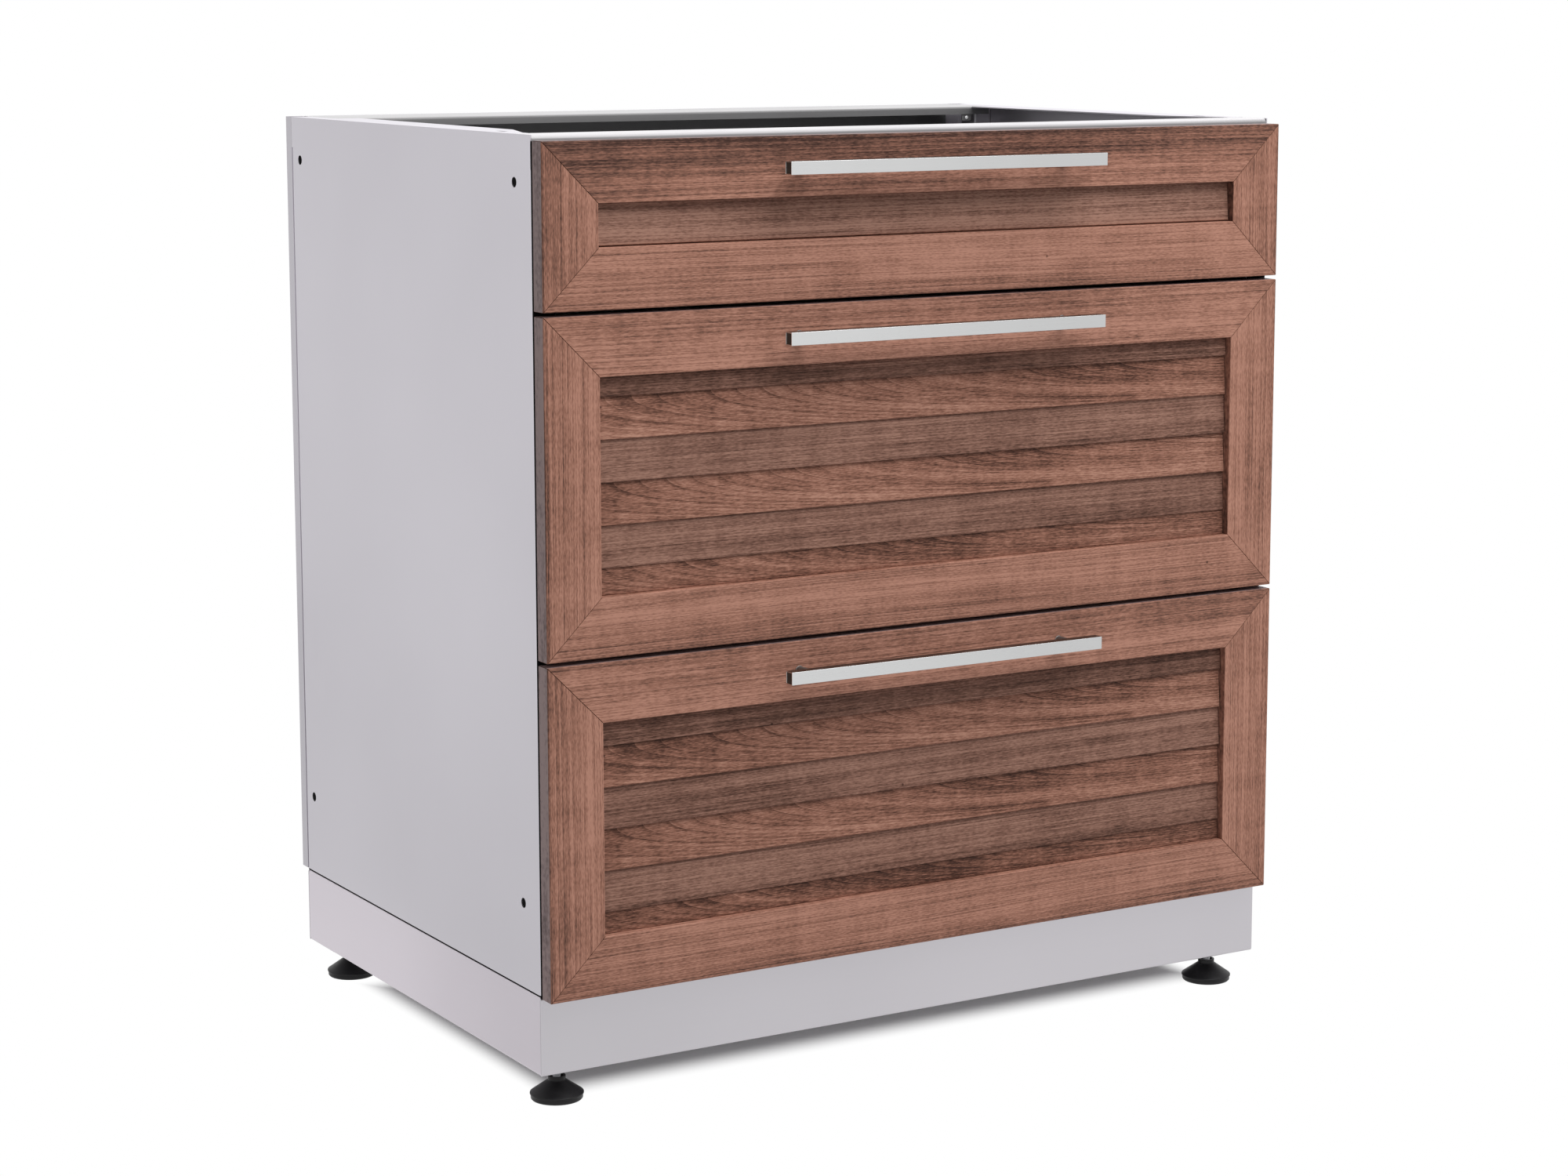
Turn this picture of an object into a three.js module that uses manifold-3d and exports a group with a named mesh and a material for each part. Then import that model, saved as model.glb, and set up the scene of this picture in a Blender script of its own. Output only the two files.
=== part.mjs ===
// An outdoor kitchen drawer unit: a cabinet of folded steel on a plinth with four levelling feet,
// and three drawers with walnut framed fronts, bar handles and full-extension ball runners.
// Lengths are in millimetres. X runs to the right, Y from front to back and Z up from the floor.

import * as THREE from "three";
import { mergeVertices } from "three/addons/utils/BufferGeometryUtils.js";
import Module from "manifold-3d";

const wasm = await Module();
wasm.setup();

// Overall sizes
const cabinetWidth = 812.8;
const overallDepth = 609.6;
const sideHeight = 774.6;
const plinthHeight = 76.2;
const footHeight = 34;

// Sheet steel and clearances
const sheet = 1.2;
const bendRadius = 2;
const touch = 0.3;
const overrun = 5;
const weldDistance = 0.001;

// Drawer fronts
const frontGap = 2;
const frontThickness = 18;
const frontDrop = 5;
const frontSideReveal = 0.8;
const frontSpacing = 4;
const topFrontHeight = 149.4;
const frontUnderhang = 3;
const memberWidth = 55.2;
const memberLip = 9.7;
const rabbetWidth = 8;
const outerChamfer = 1.2;
const innerChamfer = 0.8;

// Slatted infill of a front
const slatPitch = 38.6;
const middleSlatStart = 18.4;
const bottomSlatStart = 22.9;
const slatProudDepth = 6.8;
const slatBackDepth = 9.8;
const slatEdge = 0.8;
const infillBackGap = 2;
const infillEndGap = 1;

// Bar handle
const handleReach = 33.6;
const handleLength = 347.2;
const handleHeight = 12;
const handleThickness = 11;
const handleEdge = 0.6;
const handlePostInset = 27.55;
const handlePostRadius = 4;

// Cabinet sides and back
const backReturn = 16;
const frontReturn = 22;
const frontLip = 14;
const rearReturn = 20;
const sideFlangeWidth = 42;
const sideFlangeFront = 18;
const sideFlangeStart = 51;
const sideFlangeFull = 120;
const sideFlangeRear = 19;
const flangeSlotFromSide = 16.5;
const flangeSlotFromFront = 89.5;
const flangeSlotWidth = 5;
const flangeSlotLength = 18;
const joinHoleRadius = 4.76;
const joinHoleFromFront = 32.8;
const joinHoleFromRear = 20.5;
const joinHoleFromTop = 42.5;
const joinHoleFromBottom = 79.3;

// Top rails
const frontRailDepth = 40;
const frontRailFace = 30;
const frontRailHem = 12;
const frontRailLip = 14;
const railBend = 3.4;
const rearRailDepth = 90;
const rearRailLip = 8.5;
const rearRailTail = 25;

// Floor of the cabinet and rear posts
const floorFlange = 20;
const postFromRear = 66;
const postWidth = 28;
const postTopGap = 1;
const postSlotHeight = 4;
const postSlotLength = 9;
const postSlotDrop = 24;

// Plinth and feet
const plinthTopFlange = 25;
const plinthFootFlange = 60;
const plinthSideFlange = 30;
const footFromSide = 32;
const footFromEnd = 34;
const padRadius = 25;
const padBaseRadius = 23.2;
const padBaseHeight = 0.9;
const padRimRadius = 24.2;
const padRimHeight = 4.4;
const padLipHeight = 4.8;
const padShoulderHeight = 6.2;
const padHeight = 22;
const padCollarRadius = 8.3;
const padCollarLength = 3.6;
const padNeckRadius = 9;
const padNeckLength = 0.8;
const padCupRadius = 6.2;
const padCupDepth = 5.5;
const padSocketDepth = 13;
const stemRadius = 4;
const stemAboveNut = 28;
const nutRadius = 7.5;
const nutHeight = 6.5;

// Runners, in three nested members on each side of a drawer
const runnerFromFront = 2;
const runnerFromRear = 46;
const runnerHeight = 45;
const runnerThickness = 12.7;
const runnerPlay = 0.5;
const runnerLipGap = 2.6;
const runnerAboveBox = 30;

// Drawer boxes
const boxRise = 16;
const boxHeadroom = 40;
const boxFromRear = 56;
const boxRim = 6;

// Smoothness of round shapes
const bendSteps = 3;
const holeSides = 16;
const footSides = 24;
const postSides = 12;
const hexSides = 6;

// Places that follow from the sizes
const halfWidth = cabinetWidth / 2;
const frontReach = frontGap + frontThickness + handleReach;
const cabinetDepth = overallDepth - frontReach;
const sideDepth = cabinetDepth - backReturn;
const sideBottom = footHeight + plinthHeight;
const floorTop = sideBottom - touch;
const floorUnderside = floorTop - sheet;
const plinthTop = floorUnderside - touch;
const cabinetTop = sideBottom + sideHeight;
const railUnderside = cabinetTop - frontRailFace;
const rearRailFront = cabinetDepth - rearRailDepth;
const frontFace = -frontGap - frontThickness;
const frontBack = -frontGap;
const frontWidth = cabinetWidth - 2 * frontSideReveal;
const frontsHeight = sideHeight + frontUnderhang - frontDrop - 2 * frontSpacing;
const deepFrontHeight = (frontsHeight - topFrontHeight) / 2;
const infillBackDepth = frontThickness - infillBackGap;
const postFromFront = cabinetDepth - postFromRear;
const runnerEnd = cabinetDepth - runnerFromRear;
const boxRear = cabinetDepth - boxFromRear;
const runnerOuter = -halfWidth + frontReturn + touch;
const boxHalfWidth = -runnerOuter - runnerThickness - touch;
const postInner = -halfWidth + frontReturn;

// Materials
const steel = new THREE.MeshStandardMaterial({ color: 0xc3c0c6, roughness: 0.38, metalness: 0.8 });
const zincSteel = new THREE.MeshStandardMaterial({ color: 0xb4b6b8, roughness: 0.3, metalness: 0.9 });
const brushedBar = new THREE.MeshStandardMaterial({ color: 0xd2d4d3, roughness: 0.35, metalness: 0.9 });
const walnut = new THREE.MeshStandardMaterial({ color: 0x9a6f5c, roughness: 0.55, metalness: 0 });
const walnutDark = new THREE.MeshStandardMaterial({ color: 0x825a4a, roughness: 0.6, metalness: 0 });
const blackPlastic = new THREE.MeshStandardMaterial({ color: 0x151516, roughness: 0.45, metalness: 0 });

function point(x, y) {
  return new THREE.Vector2(x, y);
}

// A closed mesh as a solid that can be joined and cut
function solidFrom(geometry) {
  const bare = new THREE.BufferGeometry();
  bare.setAttribute("position", geometry.getAttribute("position"));
  bare.setIndex(geometry.index);
  const merged = mergeVertices(bare, weldDistance);
  const mesh = new wasm.Mesh({
    numProp: 3,
    vertProperties: merged.getAttribute("position").array,
    triVerts: new Uint32Array(merged.index.array),
  });
  return new wasm.Manifold(mesh);
}

function geometryFrom(solid) {
  const mesh = solid.getMesh();
  const positions = [];
  for (let i = 0; i < mesh.numVert; i += 1) {
    const start = i * mesh.numProp;
    positions.push(...mesh.vertProperties.slice(start, start + 3));
  }
  const geometry = new THREE.BufferGeometry();
  geometry.setAttribute("position", new THREE.Float32BufferAttribute(positions, 3));
  geometry.setIndex(Array.from(mesh.triVerts));
  const faceted = geometry.toNonIndexed();
  faceted.computeVertexNormals();
  return faceted;
}

function join(geometries) {
  const solids = geometries.map(solidFrom);
  return geometryFrom(solids.reduce((whole, part) => whole.add(part)));
}

function cut(geometry, tools) {
  const solid = tools.map(solidFrom).reduce((whole, tool) => whole.subtract(tool), solidFrom(geometry));
  return geometryFrom(solid);
}

// A rectangular block between two corners
function block(x0, x1, y0, y1, z0, z1) {
  const geometry = new THREE.BoxGeometry(x1 - x0, y1 - y0, z1 - z0);
  const position = geometry.getAttribute("position");
  for (let i = 0; i < position.count; i += 1) {
    const x = position.getX(i) < 0 ? x0 : x1;
    const y = position.getY(i) < 0 ? y0 : y1;
    const z = position.getZ(i) < 0 ? z0 : z1;
    position.setXYZ(i, x, y, z);
  }
  return geometry;
}

// A flat outline pushed out from one level to another, and the same along each axis.
// The outline holds (y, z) along X, (x, z) along Y and (x, y) along Z.
function pushedOut(outline, from, to) {
  const settings = { depth: to - from, bevelEnabled: false };
  const geometry = new THREE.ExtrudeGeometry(new THREE.Shape(outline), settings);
  const position = geometry.getAttribute("position");
  for (let i = 0; i < position.count; i += 1) {
    position.setZ(i, position.getZ(i) > 0 ? to : from);
  }
  return geometry;
}

const toX = new THREE.Matrix4().makeBasis(
  new THREE.Vector3(0, 1, 0),
  new THREE.Vector3(0, 0, 1),
  new THREE.Vector3(1, 0, 0),
);
const toY = new THREE.Matrix4().makeBasis(
  new THREE.Vector3(1, 0, 0),
  new THREE.Vector3(0, 0, 1),
  new THREE.Vector3(0, -1, 0),
);

function alongX(outline, x0, x1) {
  return pushedOut(outline, x0, x1).applyMatrix4(toX);
}

function alongY(outline, y0, y1) {
  return pushedOut(outline, -y1, -y0).applyMatrix4(toY);
}

function alongZ(outline, z0, z1) {
  return pushedOut(outline, z0, z1);
}

// The outline of a sheet that is folded along a path through its middle, with round bends
function foldedOutline(path, radius) {
  const leftSide = [];
  const rightSide = [];
  const addPair = (middle, normal) => {
    leftSide.push(middle.clone().addScaledVector(normal, sheet / 2));
    rightSide.unshift(middle.clone().addScaledVector(normal, -sheet / 2));
  };
  const leftOf = (direction) => point(-direction.y, direction.x);
  path.forEach((corner, i) => {
    const into = path[Math.max(i, 1)].clone().sub(path[Math.max(i, 1) - 1]).normalize();
    const last = Math.min(i, path.length - 2);
    const outOf = path[last + 1].clone().sub(path[last]).normalize();
    const turn = Math.atan2(into.cross(outOf), into.dot(outOf));
    if (turn === 0) {
      addPair(corner, leftOf(into));
      return;
    }
    const side = Math.sign(turn);
    const setback = radius * Math.tan(Math.abs(turn) / 2);
    const centre = corner
      .clone()
      .addScaledVector(into, -setback)
      .addScaledVector(leftOf(into), side * radius);
    for (let step = 0; step <= bendSteps; step += 1) {
      const normal = leftOf(into).rotateAround(point(0, 0), (turn * step) / bendSteps);
      addPair(centre.clone().addScaledVector(normal, -side * radius), normal);
    }
  });
  return [...leftSide, ...rightSide];
}

// A rod or a hole along X or Z
function rodAlongZ(radius, sides, x, y, z0, z1) {
  const rod = new THREE.CylinderGeometry(radius, radius, z1 - z0, sides);
  return rod.rotateX(Math.PI / 2).translate(x, y, (z0 + z1) / 2);
}

function rodAlongX(radius, sides, x0, x1, y, z) {
  const rod = new THREE.CylinderGeometry(radius, radius, x1 - x0, sides);
  return rod.rotateZ(Math.PI / 2).translate((x0 + x1) / 2, y, z);
}

function rodAlongY(radius, sides, x, y0, y1, z) {
  const rod = new THREE.CylinderGeometry(radius, radius, y1 - y0, sides);
  return rod.translate(x, (y0 + y1) / 2, z);
}

const unit = new THREE.Group();
unit.position.y = (frontReach - cabinetDepth) / 2;

function addPiece(name, geometry, material, parent = unit) {
  const mesh = new THREE.Mesh(geometry, material);
  mesh.name = name;
  parent.add(mesh);
  return mesh;
}

// Pieces that come as a left one and its mirror image
function addPair(name, geometry, material) {
  addPiece(name + "_left", geometry, material);
  addPiece(name + "_right", geometry, material).scale.x = -1;
}

// Side panel: wall, folded front and rear edges, top flange and the holes that join two cabinets
function sidePanel() {
  const outer = -halfWidth;
  const path = [
    point(outer + frontReturn - sheet / 2, frontLip),
    point(outer + frontReturn - sheet / 2, sheet / 2),
    point(outer + sheet / 2, sheet / 2),
    point(outer + sheet / 2, sideDepth - sheet / 2),
    point(outer + rearReturn, sideDepth - sheet / 2),
  ];
  const foldedTop = railUnderside - touch;
  const folded = alongZ(foldedOutline(path, bendRadius), sideBottom, foldedTop);
  const upperWall = block(outer, outer + sheet, 0, sideDepth, foldedTop, cabinetTop);
  const flange = alongZ(
    [
      point(outer, frontRailDepth + touch),
      point(outer + sideFlangeFront, frontRailDepth + touch),
      point(outer + sideFlangeFront, sideFlangeStart),
      point(outer + sideFlangeWidth, sideFlangeFull),
      point(outer + sideFlangeWidth, rearRailFront - touch),
      point(outer + sideFlangeRear, rearRailFront - touch),
      point(outer + sideFlangeRear, sideDepth),
      point(outer, sideDepth),
    ],
    cabinetTop - sheet,
    cabinetTop,
  );
  const slot = block(
    outer + flangeSlotFromSide - flangeSlotWidth / 2,
    outer + flangeSlotFromSide + flangeSlotWidth / 2,
    flangeSlotFromFront - flangeSlotLength / 2,
    flangeSlotFromFront + flangeSlotLength / 2,
    cabinetTop - overrun,
    cabinetTop + overrun,
  );
  const holes = [slot];
  for (const y of [joinHoleFromFront, sideDepth - joinHoleFromRear]) {
    for (const z of [sideBottom + joinHoleFromBottom, cabinetTop - joinHoleFromTop]) {
      holes.push(rodAlongX(joinHoleRadius, holeSides, outer - overrun, outer + overrun, y, z));
    }
  }
  return cut(join([folded, upperWall, flange]), holes);
}

// Back panel: a pan whose short returns carry on the line of the sides
function backPanel() {
  const side = halfWidth - sheet / 2;
  const rear = cabinetDepth - sheet / 2;
  const path = [
    point(-side, sideDepth + touch),
    point(-side, rear),
    point(side, rear),
    point(side, sideDepth + touch),
  ];
  return alongZ(foldedOutline(path, bendRadius), sideBottom, cabinetTop);
}

// Cabinet floor: a tray with its two sides turned up inside the side panels
function floorPanel() {
  const side = halfWidth - sheet - touch - sheet / 2;
  const level = floorUnderside + sheet / 2;
  const path = [
    point(-side, floorTop + floorFlange),
    point(-side, level),
    point(side, level),
    point(side, floorTop + floorFlange),
  ];
  const front = sheet + touch;
  const rear = cabinetDepth - sheet - touch;
  const tray = alongY(foldedOutline(path, bendRadius), front, rear);
  const notches = [];
  for (const [x0, x1] of [[-halfWidth, -side + frontReturn], [side - frontReturn, halfWidth]]) {
    const low = floorTop;
    const high = floorTop + floorFlange + overrun;
    notches.push(block(x0, x1, front - overrun, frontLip + touch, low, high));
    notches.push(block(x0, x1, sideDepth - sheet - bendRadius - touch, rear + overrun, low, high));
  }
  return cut(tray, notches);
}

// Front top rail: a channel with a rounded front bend and a short lip behind
function frontRail() {
  const end = halfWidth - sheet - touch;
  const low = railUnderside + sheet / 2;
  const path = [
    point(frontRailHem, low),
    point(sheet / 2, low),
    point(sheet / 2, cabinetTop - sheet / 2),
    point(frontRailDepth - sheet / 2, cabinetTop - sheet / 2),
    point(frontRailDepth - sheet / 2, cabinetTop - frontRailLip),
  ];
  return alongX(foldedOutline(path, railBend), -end, end);
}

// Rear top rail: a wide shelf with a short lip in front and a tail down the back panel
function rearRail() {
  const end = halfWidth - sideFlangeRear - touch;
  const tail = cabinetDepth - sheet - touch - sheet / 2;
  const path = [
    point(rearRailFront + sheet / 2, cabinetTop - rearRailLip),
    point(rearRailFront + sheet / 2, cabinetTop - sheet / 2),
    point(tail, cabinetTop - sheet / 2),
    point(tail, cabinetTop - rearRailTail),
  ];
  return alongX(foldedOutline(path, bendRadius), -end, end);
}

// Rear post: an upright channel that carries the rear ends of the runners
function rearPost() {
  const wall = -halfWidth + sheet + touch;
  const web = postInner - sheet / 2;
  const postFront = postFromFront + sheet / 2;
  const postRear = postFromFront + postWidth - sheet / 2;
  const path = [
    point(wall, postFront),
    point(web, postFront),
    point(web, postRear),
    point(wall, postRear),
  ];
  const low = floorTop + floorFlange + touch;
  const high = cabinetTop - sheet - postTopGap;
  const slotMiddle = cabinetTop - postSlotDrop;
  const slot = block(
    postInner - overrun,
    postInner + overrun,
    postFromFront - overrun,
    postFromFront + postSlotLength,
    slotMiddle - postSlotHeight / 2,
    slotMiddle + postSlotHeight / 2,
  );
  return cut(alongZ(foldedOutline(path, bendRadius), low, high), [slot]);
}

// Plinth front, which also serves as the rear: a channel whose wide lower flange holds two foot nuts
function plinthFront() {
  const low = footHeight + sheet / 2;
  const high = plinthTop - sheet / 2;
  const path = [
    point(plinthFootFlange, low),
    point(sheet / 2, low),
    point(sheet / 2, high),
    point(plinthTopFlange, high),
  ];
  const parts = [alongX(foldedOutline(path, bendRadius), -halfWidth, halfWidth)];
  const tools = [];
  const inner = halfWidth - sheet - touch;
  for (const side of [-1, 1]) {
    const x = side * (halfWidth - footFromSide);
    const nutTop = footHeight + sheet + nutHeight;
    parts.push(rodAlongZ(nutRadius, hexSides, x, footFromEnd, footHeight + sheet / 2, nutTop));
    const hole = stemRadius + touch;
    tools.push(rodAlongZ(hole, holeSides, x, footFromEnd, footHeight - overrun, nutTop + overrun));
    const x0 = side < 0 ? -halfWidth - overrun : inner;
    const x1 = side < 0 ? -inner : halfWidth + overrun;
    const y0 = sheet + touch;
    tools.push(block(x0, x1, y0, plinthFootFlange + overrun, footHeight - overrun, plinthTop + overrun));
  }
  return cut(join(parts), tools);
}

// Plinth side: a channel between the front and the rear, its flanges cut back to clear theirs
function plinthSide() {
  const outer = -halfWidth;
  const low = footHeight + sheet / 2;
  const high = plinthTop - sheet / 2;
  const path = [
    point(outer + plinthSideFlange, low),
    point(outer + sheet / 2, low),
    point(outer + sheet / 2, high),
    point(outer + plinthTopFlange, high),
  ];
  const channel = alongY(foldedOutline(path, bendRadius), sheet + touch, sideDepth - sheet - touch);
  const clear = plinthFootFlange + touch;
  const flangeEdge = outer + plinthSideFlange + overrun;
  const zLow = footHeight - overrun;
  const zHigh = plinthTop + overrun;
  return cut(channel, [
    block(outer + sheet, flangeEdge, -overrun, clear, zLow, zHigh),
    block(outer + sheet, flangeEdge, sideDepth - clear, sideDepth + overrun, zLow, zHigh),
  ]);
}

// Foot pad: a plastic disc and cone with a hollow collar round the stem
function footPad() {
  const socketRadius = stemRadius + touch;
  const collarStart = padHeight - padCollarLength;
  const cupFloor = padHeight - padCupDepth;
  const socketFloor = padHeight - padSocketDepth;
  const profile = [
    point(0, 0),
    point(padBaseRadius, 0),
    point(padRimRadius, padBaseHeight),
    point(padRimRadius, padRimHeight),
    point(padRadius, padLipHeight),
    point(padRadius, padShoulderHeight),
    point(padNeckRadius, collarStart - padNeckLength),
    point(padCollarRadius, collarStart),
    point(padCollarRadius, padHeight),
    point(padCupRadius, padHeight),
    point(padCupRadius, cupFloor),
    point(socketRadius, cupFloor),
    point(socketRadius, socketFloor),
    point(0, socketFloor),
  ];
  return new THREE.LatheGeometry(profile, footSides).rotateX(Math.PI / 2);
}

function footStem() {
  const high = footHeight + sheet + nutHeight + stemAboveNut;
  return rodAlongZ(stemRadius, holeSides, 0, 0, padHeight - padSocketDepth + touch, high);
}

// The three members of a left runner, each a channel of its own height nested in the one before
function runnerChannel(webMiddle, lipEnd, height, level) {
  const reach = height / 2 - sheet / 2;
  const path = [
    point(lipEnd, level + reach),
    point(webMiddle, level + reach),
    point(webMiddle, level - reach),
    point(lipEnd, level - reach),
  ];
  return alongY(foldedOutline(path, bendRadius), runnerFromFront, runnerEnd);
}

const nestedStep = 2 * (sheet + touch);
const middleRunnerStart = runnerOuter + sheet + runnerPlay;
const drawerRunnerStart = runnerOuter + runnerThickness;
const outerLipEnd = drawerRunnerStart - sheet - runnerLipGap;
const innerLipEnd = middleRunnerStart + sheet + runnerLipGap;

function cabinetRunner(level) {
  return runnerChannel(runnerOuter + sheet / 2, outerLipEnd, runnerHeight, level);
}

function middleRunner(level) {
  const height = runnerHeight - nestedStep;
  return runnerChannel(middleRunnerStart + sheet / 2, outerLipEnd, height, level);
}

function drawerRunner(level) {
  const height = runnerHeight - 2 * nestedStep;
  return runnerChannel(drawerRunnerStart - sheet / 2, innerLipEnd, height, level);
}

// Drawer box: an open steel tray with a rim turned out along its sides and back
function drawerBox(bottom, height) {
  const x = boxHalfWidth;
  const front = frontBack + touch;
  const top = bottom + height;
  const body = cut(block(-x, x, front, boxRear, bottom, top), [
    block(sheet - x, x - sheet, front + sheet, boxRear - sheet, bottom + sheet, top + overrun),
  ]);
  const wallMiddle = x - sheet / 2;
  const rimOuter = x + boxRim;
  const rim = alongZ(
    [
      point(-rimOuter, runnerFromFront),
      point(-wallMiddle, runnerFromFront),
      point(-wallMiddle, boxRear - sheet / 2),
      point(wallMiddle, boxRear - sheet / 2),
      point(wallMiddle, runnerFromFront),
      point(rimOuter, runnerFromFront),
      point(rimOuter, boxRear + boxRim),
      point(-rimOuter, boxRear + boxRim),
    ],
    top - sheet,
    top,
  );
  return join([body, rim]);
}

// Frame member: its outer edge lies at z = 0 and its ends are mitred at 45 degrees
function frameMember(length) {
  const outline = [
    point(0, -outerChamfer),
    point(outerChamfer, 0),
    point(frontThickness, 0),
    point(frontThickness, rabbetWidth - memberWidth),
    point(memberLip, rabbetWidth - memberWidth),
    point(memberLip, -memberWidth),
    point(innerChamfer, -memberWidth),
    point(0, innerChamfer - memberWidth),
  ];
  const bar = alongX(outline, -length / 2, length / 2);
  const position = bar.getAttribute("position");
  const mitreGap = touch * Math.SQRT1_2;
  for (let i = 0; i < position.count; i += 1) {
    const end = length / 2 + position.getZ(i) - mitreGap;
    position.setX(i, Math.sign(position.getX(i)) * end);
  }
  bar.computeVertexNormals();
  return bar;
}

// Infill: a board held in the rabbets, its face cut as lapped slats whose lower edges stand proud
function infill(width, height, slatStart) {
  const tongue = rabbetWidth - touch;
  const board = block(
    -width / 2 - tongue,
    width / 2 + tongue,
    memberLip + touch,
    infillBackDepth,
    -height - tongue,
    tongue,
  );
  const edges = [];
  for (let drop = slatStart; drop < height; drop += slatPitch) {
    edges.push(-drop);
  }
  const top = -infillEndGap;
  const bottom = infillEndGap - height;
  const outline = [point(infillBackDepth - touch, top)];
  const firstLean = (edges.length ? slatStart : height) / slatPitch;
  const lean = slatBackDepth - slatProudDepth;
  outline.push(point(slatProudDepth + lean * Math.min(firstLean, 1), top));
  for (const edge of edges) {
    outline.push(point(slatProudDepth, edge + slatEdge));
    outline.push(point(slatProudDepth + slatEdge, edge));
    outline.push(point(slatBackDepth, edge));
  }
  const lastDrop = edges.length ? height + edges[edges.length - 1] : height;
  outline.push(point(slatBackDepth - lean * Math.min(lastDrop / slatPitch, 1), bottom));
  outline.push(point(infillBackDepth - touch, bottom));
  const slats = alongX(outline, infillEndGap - width / 2, width / 2 - infillEndGap);
  return join([board, slats]);
}

// Handle: a square-edged bar on two round posts
function handle() {
  const front = -handleReach;
  const back = handleThickness - handleReach;
  const high = handleHeight / 2;
  const outline = [
    point(front, handleEdge - high),
    point(front + handleEdge, -high),
    point(back, -high),
    point(back, high),
    point(front + handleEdge, high),
    point(front, high - handleEdge),
  ];
  const bar = alongX(outline, -handleLength / 2, handleLength / 2);
  const postPlace = handleLength / 2 - handlePostInset;
  const posts = [-1, 1].map((side) =>
    rodAlongY(handlePostRadius, postSides, side * postPlace, back - handleEdge, -touch, 0),
  );
  return join([bar, ...posts]);
}

// The cabinet
addPair("side_panel", sidePanel(), steel);
addPiece("back_panel", backPanel(), steel);
addPiece("floor_panel", floorPanel(), steel);
addPiece("front_top_rail", frontRail(), steel);
addPiece("rear_top_rail", rearRail(), steel);
addPair("rear_post", rearPost(), steel);
addPair("plinth_side", plinthSide(), steel);
addPiece("plinth_front", plinthFront(), steel);
const plinthRear = addPiece("plinth_rear", plinthFront(), steel);
plinthRear.rotation.z = Math.PI;
plinthRear.position.y = sideDepth;

// The feet
for (const [row, y] of [["front", footFromEnd], ["rear", sideDepth - footFromEnd]]) {
  for (const [column, side] of [["left", -1], ["right", 1]]) {
    const foot = new THREE.Group();
    foot.position.set(side * (halfWidth - footFromSide), y, 0);
    addPiece(`foot_pad_${row}_${column}`, footPad(), blackPlastic, foot);
    addPiece(`foot_stem_${row}_${column}`, footStem(), zincSteel, foot);
    unit.add(foot);
  }
}

// The drawers, from the top one down
const drawers = [
  { name: "top", height: topFrontHeight, slatStart: Infinity },
  { name: "middle", height: deepFrontHeight, slatStart: middleSlatStart },
  { name: "bottom", height: deepFrontHeight, slatStart: bottomSlatStart },
];
let frontTop = cabinetTop - frontDrop;
for (const drawer of drawers) {
  const { name, height, slatStart } = drawer;
  const boxBottom = frontTop - height + boxRise;
  const level = boxBottom + runnerAboveBox;
  addPair(`${name}_cabinet_runner`, cabinetRunner(level), zincSteel);
  addPair(`${name}_middle_runner`, middleRunner(level), zincSteel);
  addPair(`${name}_drawer_runner`, drawerRunner(level), zincSteel);
  addPiece(`${name}_drawer_box`, drawerBox(boxBottom, height - boxRise - boxHeadroom), steel);

  const front = new THREE.Group();
  front.position.set(0, frontFace, frontTop);
  unit.add(front);
  addPiece(`${name}_frame_upper`, frameMember(frontWidth), walnut, front);
  const lower = addPiece(`${name}_frame_lower`, frameMember(frontWidth), walnut, front);
  lower.position.z = -height;
  lower.rotation.y = Math.PI;
  for (const [column, side] of [["left", -1], ["right", 1]]) {
    const stile = addPiece(`${name}_frame_${column}`, frameMember(height), walnut, front);
    stile.position.set((side * frontWidth) / 2, 0, -height / 2);
    stile.rotation.y = (side * Math.PI) / 2;
  }
  const openWidth = frontWidth - 2 * memberWidth;
  const openHeight = height - 2 * memberWidth;
  const board = addPiece(`${name}_infill`, infill(openWidth, openHeight, slatStart), walnutDark, front);
  board.position.z = -memberWidth;
  const bar = addPiece(`${name}_handle`, handle(), brushedBar, front);
  bar.position.z = -memberWidth / 2;
  frontTop -= height + frontSpacing;
}

export default unit;
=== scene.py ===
# An outdoor kitchen drawer unit: its dressed pieces, their finishes and the studio round them.
# Lengths are in metres. X runs to the right, Y from front to back and Z up from the floor.

import math

import bmesh
import bpy
from mathutils import Matrix, Vector


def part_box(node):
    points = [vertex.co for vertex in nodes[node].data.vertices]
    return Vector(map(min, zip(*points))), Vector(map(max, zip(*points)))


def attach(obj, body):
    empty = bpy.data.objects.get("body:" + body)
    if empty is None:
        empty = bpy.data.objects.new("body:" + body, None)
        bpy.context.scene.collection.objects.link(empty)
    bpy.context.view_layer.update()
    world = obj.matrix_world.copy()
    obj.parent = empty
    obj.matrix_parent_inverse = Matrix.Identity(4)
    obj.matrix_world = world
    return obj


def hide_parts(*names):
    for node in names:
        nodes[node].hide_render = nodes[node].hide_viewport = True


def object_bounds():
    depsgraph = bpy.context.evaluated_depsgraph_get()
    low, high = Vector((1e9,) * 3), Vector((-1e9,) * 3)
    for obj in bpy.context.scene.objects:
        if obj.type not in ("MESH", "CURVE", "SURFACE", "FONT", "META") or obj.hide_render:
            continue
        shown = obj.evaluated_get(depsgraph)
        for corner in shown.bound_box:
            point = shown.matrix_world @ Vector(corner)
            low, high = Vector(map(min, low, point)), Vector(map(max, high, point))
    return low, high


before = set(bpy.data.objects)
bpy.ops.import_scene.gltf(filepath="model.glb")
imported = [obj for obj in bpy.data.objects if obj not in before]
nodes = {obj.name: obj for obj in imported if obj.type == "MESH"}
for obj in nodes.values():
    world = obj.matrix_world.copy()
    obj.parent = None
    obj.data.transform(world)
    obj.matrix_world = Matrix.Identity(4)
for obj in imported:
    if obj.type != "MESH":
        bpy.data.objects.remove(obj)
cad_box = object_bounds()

scene = bpy.context.scene

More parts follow.
